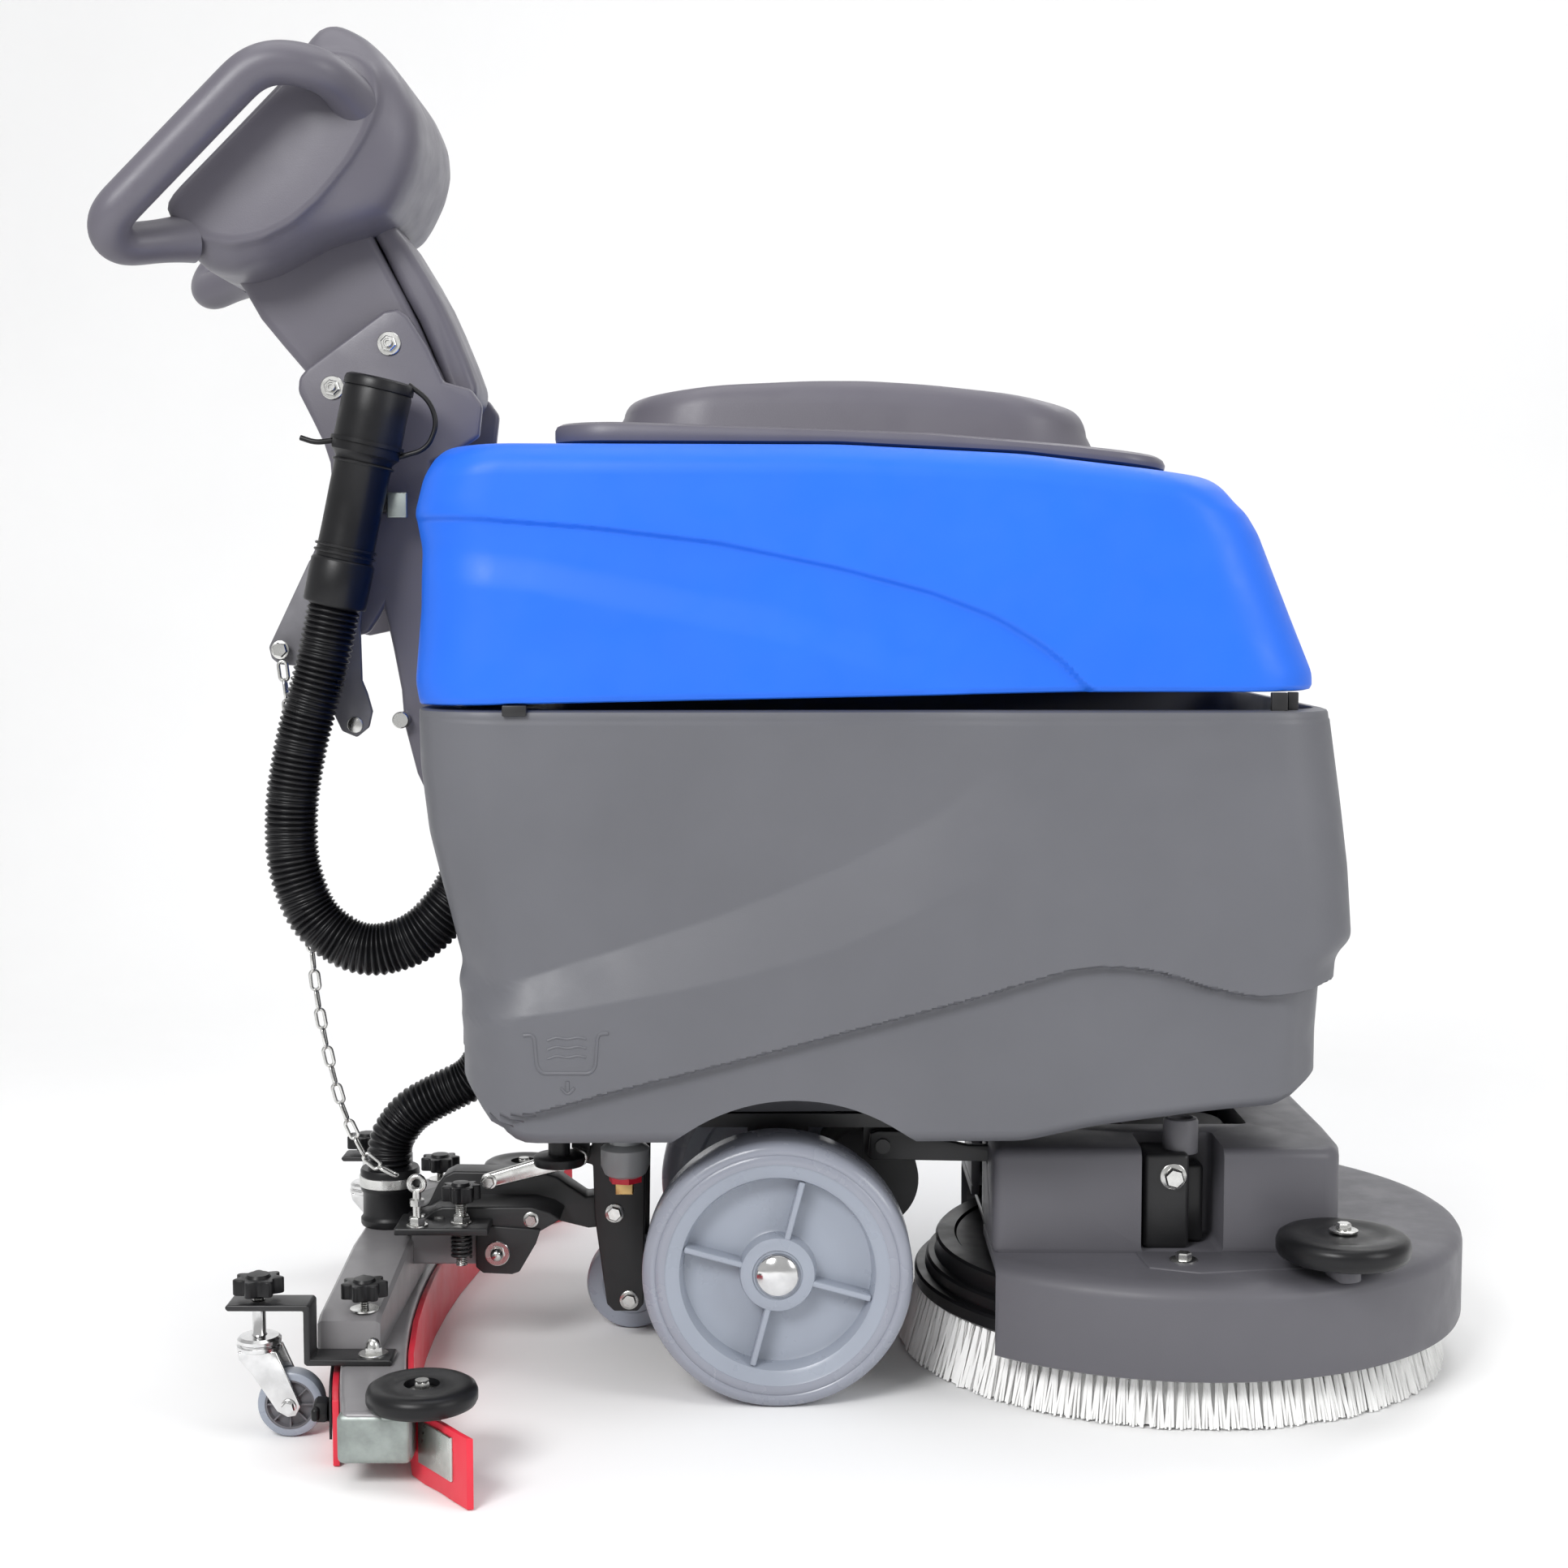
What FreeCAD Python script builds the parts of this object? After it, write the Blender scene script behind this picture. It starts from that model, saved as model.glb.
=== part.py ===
"""Walk-behind floor scrubber: X forward, Y to the machine's left, Z up, millimetres."""
import FreeCAD, Part
import math
import os

os.makedirs("parts", exist_ok=True)
V = FreeCAD.Vector
X_AXIS, Y_AXIS, Z_AXIS = V(1, 0, 0), V(0, 1, 0), V(0, 0, 1)
RIGHT, LEFT = -1, 1  # sign of Y on each side of the machine
SIDE_NAME = {RIGHT: "right", LEFT: "left"}

# Tanks
TANK_HALF = 225.0
TANK_CORNER = 60.0
TANK_TOP = 549.0
TANK_REAR, TANK_FRONT = -302.0, 418.0
WALL = 7.0
RECESS_HALF, RECESS_FRONT = 135.0, -232.0  # rear bay for the column and hoses
BAY_FLOOR = 262.0
LID_HALF = 190.0
LID_REAR, LID_FRONT = -196.0, 273.0
LID_HINGE_Y, LID_HINGE_Z = 200.0, 757.0
LID_HINGES = ((-110, 747.6), (130, 741.6))  # start in X and height of the tank below

# Drive wheels and the rear support wheel
WHEEL_X, WHEEL_R = -25.0, 106.0
WHEEL_IN, WHEEL_OUT = 122.0, 178.0
ARCH_X, ARCH_R = -12.0, 147.0
AXLE_R = 10.0
FIT = 0.05  # radial clearance of every running fit
REAR_WHEEL_X, REAR_WHEEL_Y, REAR_WHEEL_R = -151.0, 34.0, 40.0

# Brush deck
BRUSH_X, BRUSH_R = 308.0, 229.0
PLATE_R, PLATE_LOW, PLATE_STEP, PLATE_HIGH = 216.0, 50.0, 74.0, 90.0
SPINDLE_R = 12.0
BRISTLE_LOW = 0.8
SKIRT_R, SKIRT_LOW, DECK_TOP = 242.0, 42.0, 116.0
SKIRT_CUT_X = 145.0
HOUSING_TOP, HOUSING_HALF = 200.0, 150.0
DECK_PIVOT_X, DECK_PIVOT_Z = 60.0, 190.0
BUMPER_X, BUMPER_Y, BUMPER_R = 409.0, 203.0, 51.0
BUMPER_LOW, BUMPER_HIGH = 128.0, 148.0

# Squeegee
HINGE_X, HINGE_Z = -163.0, 115.0
HINGE_PIN_R = 6.0
BODY_APEX_X, BODY_ARC_R = -349.0, 1500.0
BODY_HALF_WIDTH, BODY_HALF_LENGTH = 25.0, 345.0
BODY_LOW, BODY_HIGH = 22.0, 57.0
REAR_BLADE_HALF = 300.0
BLADE_LOW, BLADE_TOP, BLADE_THICKNESS = 0.8, 52.0, 5.0
ARM_SEAT = 106.0
SOCKET_X, SOCKET_LOW, SOCKET_HIGH = -356.0, 100.0, 149.0
CHAIN_Y = -78.0
LEVER_X, LEVER_Z = -372.0, 622.0
LEVER_EYE_X, LEVER_EYE_Z = -425.0, 589.0
CASTER_X, CASTER_Y, CASTER_R = -417.0, 232.0, 25.0
CASTER_TRAIL = 24.0
HEIGHT_X, HEIGHT_Y = -286.0, -70.0
BODY_KNOB_X, BODY_KNOB_Y = -343.0, 200.0
END_ROLLER_X, END_ROLLER_Y, END_ROLLER_R = -279.0, 330.0, 40.0

# Operator column, head and hoses
COLUMN_HALF = 62.0
NECK_HALF = 46.0
HEAD_HALF = 122.0
HANDLE_Y, HANDLE_R = 165.0, 16.5
CUFF_Y = -110.0
CUFF_TOP = V(-338, CUFF_Y, 795)
CUFF_BOTTOM = V(-375, CUFF_Y, 627)
DRAIN_HOSE_R, VACUUM_HOSE_R = 21.0, 19.0
CHAIN_R = 5.0


def box(x0, x1, y0, y1, z0, z1):
    return Part.makeBox(x1 - x0, y1 - y0, z1 - z0, V(x0, y0, z0))


def cylinder(centre, radius, length, axis=Z_AXIS):
    return Part.makeCylinder(radius, length, centre, axis)


def ring(centre, outer, inner, length, axis=Z_AXIS):
    return cylinder(centre, outer, length, axis).cut(cylinder(centre, inner, length, axis))


def side_prism(outline, y0, y1):
    """An outline of (x, z) points, extruded from y0 to y1."""
    corners = [V(x, y0, z) for x, z in outline]
    return Part.Face(Part.makePolygon(corners + corners[:1])).extrude(V(0, y1 - y0, 0))


def plan_prism(outline, z0, z1):
    """An outline of (x, y) points, extruded from z0 to z1."""
    corners = [V(x, y, z0) for x, y in outline]
    return Part.Face(Part.makePolygon(corners + corners[:1])).extrude(V(0, 0, z1 - z0))


def rounded_column(x0, x1, half, corner, z0, z1):
    """An upright block whose four vertical edges are rounded."""
    block = box(x0, x1, -half, half, z0, z1)
    upright = [e for e in block.Edges if abs(e.tangentAt(e.FirstParameter).z) > 0.9]
    return block.makeFillet(corner, upright)


def mirrored(shape):
    return shape.mirror(V(0, 0, 0), Y_AXIS)


def for_side(shape, side):
    """The right-hand shape as it is, or its mirror image for the left."""
    return shape if side == RIGHT else mirrored(shape)


def both_sides(shape):
    return Part.makeCompound([shape, mirrored(shape)])


def route_path(points):
    """Straight runs joined by tangent arcs as large as the runs allow."""
    points = [V(*p) for p in points]
    edges, radii, start = [], [], points[0]
    for before, corner, after in zip(points, points[1:], points[2:]):
        run_in, run_out = corner - before, after - corner
        half_turn = run_in.getAngle(run_out) / 2
        shorter = min(run_in.Length, run_out.Length)
        radius = 0.45 * shorter / math.tan(half_turn)
        setback = 0.45 * shorter
        to_before, to_after = (before - corner).normalize(), (after - corner).normalize()
        arc_start, arc_end = corner + to_before * setback, corner + to_after * setback
        inward = (to_before + to_after).normalize()
        middle = corner + inward * (radius / math.cos(half_turn) - radius)
        edges.append(Part.LineSegment(start, arc_start).toShape())
        edges.append(Part.Arc(arc_start, middle, arc_end).toShape())
        radii.append(radius)
        start = arc_end
    edges.append(Part.LineSegment(start, points[-1]).toShape())
    return Part.Wire(edges), radii


def tube_along(points, radius, name):
    """A round tube along a route, with its bend radii and volume printed."""
    path, radii = route_path(points)
    first, second = V(*points[0]), V(*points[1])
    section = Part.Wire([Part.Circle(first, (second - first).normalize(), radius).toShape()])
    shape = path.makePipeShell([section], True, False)
    expected = math.pi * radius ** 2 * path.Length
    print(name, "length", round(path.Length), "radii", [round(r) for r in radii],
          "volume ratio", round(shape.Volume / expected, 4))
    return shape


def save(name, shape):
    shape.exportStep("parts/" + name + ".step")


# ---------------------------------------------------------------- tanks


def solution_tank():
    outline = [(-300, TANK_TOP), (-299, 500), (-293, 440), (-280, 377), (-271, 325),
               (-274, 306), (-269, 282), (-259, 257), (-242, 226), (-222, 217),
               (163, 219), (218, 231), (308, 243), (385, 250), (400, 262), (406, 330),
               (418, 345), (414, 408), (407, 470), (397, TANK_TOP)]
    inside = [(-289, 560), (-288, 500), (-272, 400), (-262, 330), (-262, 290),
              (-245, BAY_FLOOR), (385, BAY_FLOOR), (396, 330), (405, 355), (398, 470), (387, 560)]
    shell = side_prism(outline, -TANK_HALF, TANK_HALF)
    shell = shell.common(rounded_column(TANK_REAR, TANK_FRONT, TANK_HALF, TANK_CORNER, 200, 560))
    hollow = side_prism(inside, WALL - TANK_HALF, TANK_HALF - WALL)
    hollow = hollow.common(rounded_column(TANK_REAR + WALL, TANK_FRONT - WALL,
                                          TANK_HALF - WALL, TANK_CORNER - WALL, 200, 570))
    hollow = hollow.cut(box(-330, RECESS_FRONT + WALL, -RECESS_HALF - WALL, RECESS_HALF + WALL,
                            200, 570))
    shell = shell.cut(hollow)
    shell = shell.cut(box(-330, RECESS_FRONT, -RECESS_HALF, RECESS_HALF, 200, 570))
    for side in (RIGHT, LEFT):
        start = V(ARCH_X, side * 112, WHEEL_R)
        shell = shell.cut(cylinder(start, ARCH_R, 120, V(0, side, 0)))
    for rest in ([(-230, 548), (-230, 553.4), (-212, 553.8), (-212, 548)],
                 [(338, 548), (338, 562.9), (356, 562.9), (356, 548)]):
        shell = shell.fuse(both_sides(side_prism(rest, WALL - TANK_HALF, -TANK_HALF)))
    return shell.removeSplitter()


def recovery_tank():
    outline = [(-299, 552), (-302, 569), (-297, 625), (-296, 669), (-301, 697), (-294, 723),
               (-281, 741), (-244, 748), (22, 747), (159, 740), (269, 727), (318, 722),
               (331, 714), (341, 695), (384, 569), (383, 563), (207, 563)]
    inside = [(-291, 562), (-290, 660), (-293, 697), (-286, 720), (-270, 736), (22, 739),
              (159, 732), (269, 719), (314, 713), (330, 693), (372, 575), (200, 572)]
    shell = side_prism(outline, -TANK_HALF, TANK_HALF)
    shell = shell.common(rounded_column(TANK_REAR, 386, TANK_HALF, TANK_CORNER, 540, 760))
    hollow = side_prism(inside, WALL - TANK_HALF, TANK_HALF - WALL)
    hollow = hollow.common(rounded_column(TANK_REAR + WALL, 379, TANK_HALF - WALL,
                                          TANK_CORNER - WALL, 540, 760))
    shell = shell.cut(hollow)
    return shell.cut(box(-170, 240, -165, 165, 700, 760))


def tank_lid():
    plate_outline = [(LID_REAR, 749.5), (22, 748.5), (159, 741.5), (LID_FRONT, 728.5),
                     (LID_FRONT, 736), (268, 740), (197, 748), (90, 757), (-17, 761),
                     (-144, 765), (LID_REAR, 765)]
    dome_outline = [(-150, 750), (-148, 768), (-144, 777), (-135, 784), (-115, 791), (-68, 796),
                    (1, 799), (44, 799), (92, 796), (157, 789), (197, 783), (207, 777),
                    (214, 765), (224, 745), (22, 750)]
    under = [(-140, 740), (-136, 776), (-68, 789), (22, 792), (150, 783), (198, 775), (212, 735)]
    lid = side_prism(plate_outline, -LID_HALF, LID_HALF)
    lid = lid.common(rounded_column(LID_REAR, LID_FRONT, LID_HALF, 45, 720, 800))
    dome = side_prism(dome_outline, -158, 158)
    lid = lid.fuse(dome.common(rounded_column(-150, 224, 158, 70, 720, 810)))
    hollow = side_prism(under, -150, 150).common(rounded_column(-142, 216, 150, 62, 720, 810))
    lid = lid.cut(hollow)
    for x, seat in LID_HINGES:
        ear = box(x + 11, x + 29, 180, LID_HINGE_Y, seat + 1, LID_HINGE_Z + 4)
        lid = lid.fuse(ear)
        lid = lid.fuse(cylinder(V(x + 11, LID_HINGE_Y, LID_HINGE_Z), 5, 18, X_AXIS))
        lid = lid.cut(cylinder(V(x, LID_HINGE_Y, LID_HINGE_Z), 2.5 + FIT, 40, X_AXIS))
    return lid.removeSplitter()


def lid_hinge():
    hinges = []
    for x, seat in LID_HINGES:
        pin = cylinder(V(x, LID_HINGE_Y, LID_HINGE_Z), 2.5, 40, X_AXIS)
        for end in (x, x + 30):
            pin = pin.fuse(cylinder(V(end, LID_HINGE_Y, LID_HINGE_Z), 5, 10, X_AXIS))
            pin = pin.fuse(box(end, end + 10, LID_HINGE_Y - 4, LID_HINGE_Y + 4, seat, LID_HINGE_Z))
        hinges.append(pin)
    return Part.makeCompound(hinges)


# ---------------------------------------------------------------- chassis and drive


def chassis():
    frame = box(-215, 135, -100, 100, 206, 217)
    for side in (RIGHT, LEFT):
        y = side * 62
        hanger = box(-50, 0, y - 5, y + 5, WHEEL_R, 206)
        bore = cylinder(V(WHEEL_X, y - 6, WHEEL_R), 30, 12, Y_AXIS)
        frame = frame.fuse(hanger).cut(bore)
        ear = box(DECK_PIVOT_X - 15, DECK_PIVOT_X + 15, side * 80 - 4, side * 80 + 4,
                  DECK_PIVOT_Z - 15, 206)
        frame = frame.fuse(ear)
        pin_start = V(DECK_PIVOT_X, side * 84, DECK_PIVOT_Z)
        frame = frame.fuse(cylinder(pin_start, 6, 16, V(0, side, 0)))
    return frame.removeSplitter()


def drive_unit():
    casing = cylinder(V(WHEEL_X, -112, WHEEL_R), 30, 224, Y_AXIS)
    casing = casing.fuse(cylinder(V(WHEEL_X, -50, WHEEL_R), 62, 100, Y_AXIS))
    casing = casing.fuse(cylinder(V(WHEEL_X + 75, -48, 150), 42, 96, Y_AXIS))
    for side in (RIGHT, LEFT):
        start = V(WHEEL_X, side * 112, WHEEL_R)
        casing = casing.fuse(cylinder(start, AXLE_R, WHEEL_OUT - 112 - 8, V(0, side, 0)))
    return casing


def drive_hub(side):
    """Wheel centre with a bore, a recessed web, four ribs and a rim."""
    def at(y):
        return V(WHEEL_X, side * y, WHEEL_R)
    out = V(0, side, 0)
    hub = cylinder(at(WHEEL_IN), 88, 56, out)
    for inner_y in (WHEEL_IN, WHEEL_OUT - 22):
        hub = hub.cut(ring(at(inner_y), 74, 32, 22, out))
    low, high = sorted((side * (WHEEL_OUT - 24), side * (WHEEL_OUT - 4)))
    for index in range(4):
        rib = box(WHEEL_X + 30, WHEEL_X + 75, low, high, WHEEL_R - 2.5, WHEEL_R + 2.5)
        rib.rotate(V(WHEEL_X, 0, WHEEL_R), Y_AXIS, 15 + 90 * index)
        hub = hub.fuse(rib)
    hub = hub.cut(cylinder(at(WHEEL_IN), AXLE_R + FIT, WHEEL_OUT - WHEEL_IN - 8 + 1, out))
    return hub.removeSplitter()


def drive_tyre(side):
    start = V(WHEEL_X, side * WHEEL_IN, WHEEL_R)
    tyre = ring(start, WHEEL_R, 88, WHEEL_OUT - WHEEL_IN, V(0, side, 0))
    rims = [e for e in tyre.Edges
            if e.Closed and abs(e.BoundBox.XLength - 2 * WHEEL_R) < 0.1]
    return tyre.makeFillet(7, rims)


def rear_bracket():
    """Two black plates that carry the squeegee hinge pin and the support wheel."""
    outline = [(-182, 206), (-182, 100), (-172, 30), (-138, 30), (-136, 206)]
    near = side_prism(outline, -24, -18)
    far = side_prism(outline, 52, 58)
    bracket = near.fuse(far).fuse(box(-182, -136, -24, 58, 198, 206))
    hinge_pin = cylinder(V(HINGE_X, -30, HINGE_Z), HINGE_PIN_R, 94, Y_AXIS)
    axle = cylinder(V(REAR_WHEEL_X, -30, REAR_WHEEL_R), 5, 94, Y_AXIS)
    bracket = bracket.fuse(hinge_pin).fuse(axle)
    for x, z in ((HINGE_X, HINGE_Z), (REAR_WHEEL_X, REAR_WHEEL_R)):
        bracket = bracket.fuse(cylinder(V(x, -32, z), 8, 8, Y_AXIS))
    return bracket.removeSplitter()


def rear_wheel():
    start = V(REAR_WHEEL_X, REAR_WHEEL_Y - 13, REAR_WHEEL_R)
    return ring(start, REAR_WHEEL_R, 5 + FIT, 26, Y_AXIS)


def battery_pack():
    return both_sides(box(-218, -62, -200, -6, BAY_FLOOR, 470))


def vacuum_motor():
    motor = cylinder(V(120, 0, BAY_FLOOR), 70, 90)
    return motor.fuse(cylinder(V(120, 0, 352), 86, 60))


def water_filter():
    """Clear-water strainer bowl with its outlet, hung from the chassis plate."""
    bowl = cylinder(V(-150, -78, 160), 20, 26).fuse(cylinder(V(-150, -78, 186), 12, 20))
    bowl = bowl.fuse(cylinder(V(-150, -78, 146), 8, 14))
    cap = cylinder(V(-204, -78, 170), 21, 8).fuse(cylinder(V(-204, -78, 178), 9, 28))
    return Part.makeCompound([bowl, cap])


# ---------------------------------------------------------------- column and head


def lower_column():
    plate = [(-328, 864), (-403, 812), (-411, 800), (-385, 731), (-407, 658), (-399, 612),
             (-376, 600), (-354, 606), (-349, 634), (-337, 591), (-331, 540), (-319, 490),
             (-296, 440), (-284, 410), (-284, 262), (-268, 262), (-268, 400), (-304, 500),
             (-304, 745), (-262, 768), (-263, 789), (-294, 806)]
    web = [(-384, 745), (-396, 664), (-349, 640), (-337, 591), (-331, 540), (-322, 504),
           (-312, 504), (-312, 740), (-330, 752)]
    column = side_prism(web, -50, 50)
    for side in (RIGHT, LEFT):
        low, high = sorted((side * 50, side * COLUMN_HALF))
        column = column.fuse(side_prism(plate, low, high))
        foot = box(-284, RECESS_FRONT, low, high, BAY_FLOOR, 300)
        column = column.fuse(foot)
    pivot = cylinder(V(LEVER_X, -80, LEVER_Z), HINGE_PIN_R, 18, Y_AXIS)
    stop = cylinder(V(-330, -74, 534), 7, 12, Y_AXIS)
    return column.fuse(pivot).fuse(stop).removeSplitter()


def upper_neck():
    outline = [(-468, 894), (-457, 881), (-444, 858), (-409, 816), (-392, 775), (-340, 757),
               (-300, 768), (-266, 800), (-287, 852), (-307, 892), (-325, 921), (-400, 930)]
    return side_prism(outline, -NECK_HALF, NECK_HALF).cut(control_head())


def control_head():
    outline = [(-503, 938), (-400, 1041), (-384, 1072), (-368, 1082), (-345, 1072), (-322, 1042),
               (-304, 1008), (-307, 978), (-328, 935), (-345, 922), (-384, 914), (-425, 892),
               (-450, 885), (-475, 890), (-490, 903)]
    return side_prism(outline, -HEAD_HALF, HEAD_HALF)


PANEL_ORIGIN = V(-451.5, 0, 989.5)
PANEL_SLOPE = 45.0  # degrees above level, rising forward


def on_panel(shape):
    """Moves a shape drawn level at the origin onto the sloping control face."""
    shape.rotate(V(0, 0, 0), Y_AXIS, -PANEL_SLOPE)
    shape.translate(PANEL_ORIGIN)
    return shape


BUTTON_PLACES = {"start_button": (-24, -42), "vacuum_button": (-24, 0)}
KEY_PLACE = (-24, 46)


def control_panel():
    panel = box(-58, 58, -100, 100, 0.1, 4)
    panel = panel.fuse(box(4, 44, -60, 60, 0.1, 7))
    for x, y in BUTTON_PLACES.values():
        panel = panel.cut(cylinder(V(x, y, -1), 11.3, 9))
    panel = panel.cut(cylinder(V(*KEY_PLACE, -1), 9 + FIT, 9))
    return on_panel(panel)


def panel_button(place):
    return on_panel(cylinder(V(*place, 3), 11, 7))


def key_switch():
    barrel = cylinder(V(*KEY_PLACE, 0.2), 9, 6)
    grip = box(KEY_PLACE[0] - 9, KEY_PLACE[0] + 9, KEY_PLACE[1] - 2, KEY_PLACE[1] + 2, 6, 24)
    return on_panel(barrel.fuse(grip))


def handle(side):
    """A loop of round tube whose two ends run into the side of the head."""
    points = [(-352, side * 112, 1016), (-369, side * 154, 1033), (-414, side * HANDLE_Y, 1037),
              (-530, side * HANDLE_Y, 921), (-534, side * 155.5, 908), (-528, side * 142, 902),
              (-484, side * 106, 913)]
    return tube_along(points, HANDLE_R, "handle").cut(control_head())


def column_bolts():
    bolts = []
    for x, z in ((-337, 836), (-383, 801)):
        washer = cylinder(V(x, -COLUMN_HALF - 2, z), 9.5, 2, Y_AXIS)
        bolts.append(washer.fuse(cylinder(V(x, -COLUMN_HALF - 8, z), 6, 6, Y_AXIS)))
    return both_sides(Part.makeCompound(bolts))


# ---------------------------------------------------------------- hoses, lever and chain


CUFF_AXIS = (CUFF_TOP - CUFF_BOTTOM).normalize()


def drain_cuff():
    length = (CUFF_TOP - CUFF_BOTTOM).Length
    cuff = cylinder(CUFF_BOTTOM, 25, 36, CUFF_AXIS)
    cuff = cuff.fuse(cylinder(CUFF_BOTTOM, 22.5, length, CUFF_AXIS))
    cuff = cuff.fuse(cylinder(CUFF_BOTTOM + CUFF_AXIS * (length - 52), 27, 52, CUFF_AXIS))
    clip = box(-352, -332, -95, -COLUMN_HALF, 700, 716)
    return cuff.fuse(clip).removeSplitter()


def drain_cap():
    return cylinder(CUFF_TOP + CUFF_AXIS * 0.1, 27.5, 9, CUFF_AXIS)


DRAIN_ROUTE = [(-375.02, -110, 626.9), (-386, -110, 577), (-402, -110, 524), (-412, -110, 470),
               (-412, -110, 420), (-395, -110, 374), (-356, -110, 349), (-312, -110, 360),
               (-280, -109, 395), (-262, -107, 445), (-256, -105, 498), (-255, -105, 551)]
VACUUM_ROUTE = [(-356, 0, 149), (-356, 0, 172), (-339, 0, 197), (-310, 0, 213), (-282, 0, 226),
                (-268, 0, 254), (-266, 0, 300), (-264, 0, 348), (-265, 0, 400), (-264, 0, 450),
                (-263, -4, 500), (-262, -8, 551)]
CHAIN_ROUTE = [(-424, -78, 583), (-418, -78, 530), (-414, -78, 475), (-409, -78, 420),
               (-405, -78, 365), (-401, -78, 312), (-393, -78, 265), (-381, -78, 215),
               (-362, -78, 174), (-336, -78, 160)]


def lift_lever():
    outline = [(-402, 663), (-436, 593), (-431, 580), (-414, 578), (-396, 590), (-384, 575),
               (-384, 538), (-368, 521), (-357, 526), (-353, 549), (-361, 566), (-362, 610),
               (-358, 640), (-372, 668)]
    lever = side_prism(outline, -71, -66)
    lever = lever.cut(cylinder(V(LEVER_X, -75, LEVER_Z), HINGE_PIN_R + FIT, 12, Y_AXIS))
    lever = lever.fuse(cylinder(V(LEVER_EYE_X, -83, LEVER_EYE_Z + 2), 4, 14, Y_AXIS))
    lever = lever.fuse(cylinder(V(-367, -72.6, 530), 6.5, 4, Y_AXIS))
    return lever.removeSplitter()


def squeegee_link():
    outline = [(-272, 150), (-268, 141), (-184, 162), (-182, 172), (-196, 175)]
    link = side_prism(outline, -46, -36)
    bore = cylinder(V(-190, -50, 168), 3 + FIT, 20, Y_AXIS)
    return link.cut(bore)


def link_hanger():
    """The ear under the chassis plate with the pin that the link swings on."""
    ear = box(-198, -183, -33, -28, 164, 206)
    return ear.fuse(cylinder(V(-190, -49, 168), 3, 18, Y_AXIS))


# ---------------------------------------------------------------- brush deck


def deck_sector(radius, z0, z1):
    """The part of a disc that lies ahead of the deck's rear cut."""
    disc = cylinder(V(BRUSH_X, 0, z0), radius, z1 - z0)
    return disc.common(box(SKIRT_CUT_X, 560, -260, 260, z0, z1))


def deck_cover():
    cover = deck_sector(SKIRT_R, SKIRT_LOW, DECK_TOP)
    cover = cover.fuse(box(SKIRT_CUT_X, 423, -HOUSING_HALF, HOUSING_HALF,
                           DECK_TOP - 1, HOUSING_TOP))
    cover = cover.cut(deck_sector(SKIRT_R - 6, SKIRT_LOW - 1, DECK_TOP - 8))
    cover = cover.cut(box(SKIRT_CUT_X - 1, SKIRT_CUT_X + 20, -175, 175, SKIRT_LOW - 1, DECK_TOP - 8))
    cover = cover.cut(box(SKIRT_CUT_X - 1, 362, -62, 62, 90, HOUSING_TOP + 1))
    cover = cover.cut(box(369, 416, -63, 63, 90, HOUSING_TOP - 7))
    for side in (RIGHT, LEFT):
        low, high = sorted((side * 90, side * 170))
        cover = cover.cut(box(261, 327, low, high, DECK_TOP, HOUSING_TOP + 1))
        low, high = sorted((side * 62, side * 143))
        cover = cover.cut(box(SKIRT_CUT_X + 7, 254, low, high, 90, HOUSING_TOP - 7))
        cover = cover.cut(box(334, 416, low, high, 90, HOUSING_TOP - 7))
        low, high = sorted((side * 86, side * 98))
        cover = cover.cut(box(SKIRT_CUT_X - 1, SKIRT_CUT_X + 8, low, high, 174, 192))
        boss = cylinder(V(BUMPER_X, side * BUMPER_Y, DECK_TOP - 4), 14, BUMPER_LOW - DECK_TOP + 4)
        pin = cylinder(V(BUMPER_X, side * BUMPER_Y, DECK_TOP - 4), 6, BUMPER_HIGH - DECK_TOP + 12)
        cover = cover.fuse(boss).fuse(pin)
    return cover.removeSplitter()


def deck_frame():
    """Steel arms that hang the deck on the chassis pivots, with the slot brackets."""
    frame = box(150, 345, -100, 100, 100, 108)
    frame = frame.cut(cylinder(V(BRUSH_X, 0, 99), SPINDLE_R + 2, 10))
    frame = frame.fuse(box(150, 162, -12, 12, 107, 195))
    for side in (RIGHT, LEFT):
        low, high = sorted((side * 88, side * 96))
        arm = [(48, 178), (48, 202), (72, 202), (130, 190), (205, 190), (205, 107), (190, 107),
               (190, 176), (72, 178)]
        frame = frame.fuse(side_prism(arm, low, high).cut(
            cylinder(V(DECK_PIVOT_X, side * 80, DECK_PIVOT_Z), 6 + FIT, 30, V(0, side, 0))))
    return frame.removeSplitter()


def slot_bracket(side):
    low, high = sorted((side * 92, side * 138))
    plate = box(266, 302, low, high, DECK_TOP, 196)
    plate = plate.fuse(cylinder(V(298, side * 115, 190), 14, 28))
    bolt = cylinder(V(289, side * 138, 175), 11, 3, V(0, side, 0))
    return plate.fuse(bolt).fuse(cylinder(V(289, side * 138, 175), 7, 9, V(0, side, 0)))


def deck_bumper(side):
    start = V(BUMPER_X, side * BUMPER_Y, BUMPER_LOW)
    wheel = ring(start, BUMPER_R, 6 + FIT, BUMPER_HIGH - BUMPER_LOW)
    return wheel


def brush_motor():
    motor = cylinder(V(BRUSH_X, 0, 108), 48, 82)
    return motor.fuse(cylinder(V(BRUSH_X, 0, PLATE_LOW + 26), SPINDLE_R, 34))


def brush_plate():
    plate = ring(V(BRUSH_X, 0, PLATE_LOW), PLATE_R, 70, PLATE_STEP - PLATE_LOW)
    top = cylinder(V(BRUSH_X, 0, PLATE_STEP), 198, PLATE_HIGH - PLATE_STEP)
    bore = cylinder(V(BRUSH_X, 0, PLATE_STEP - 1), SPINDLE_R + FIT, PLATE_HIGH)
    return plate.fuse(top).cut(bore)


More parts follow.
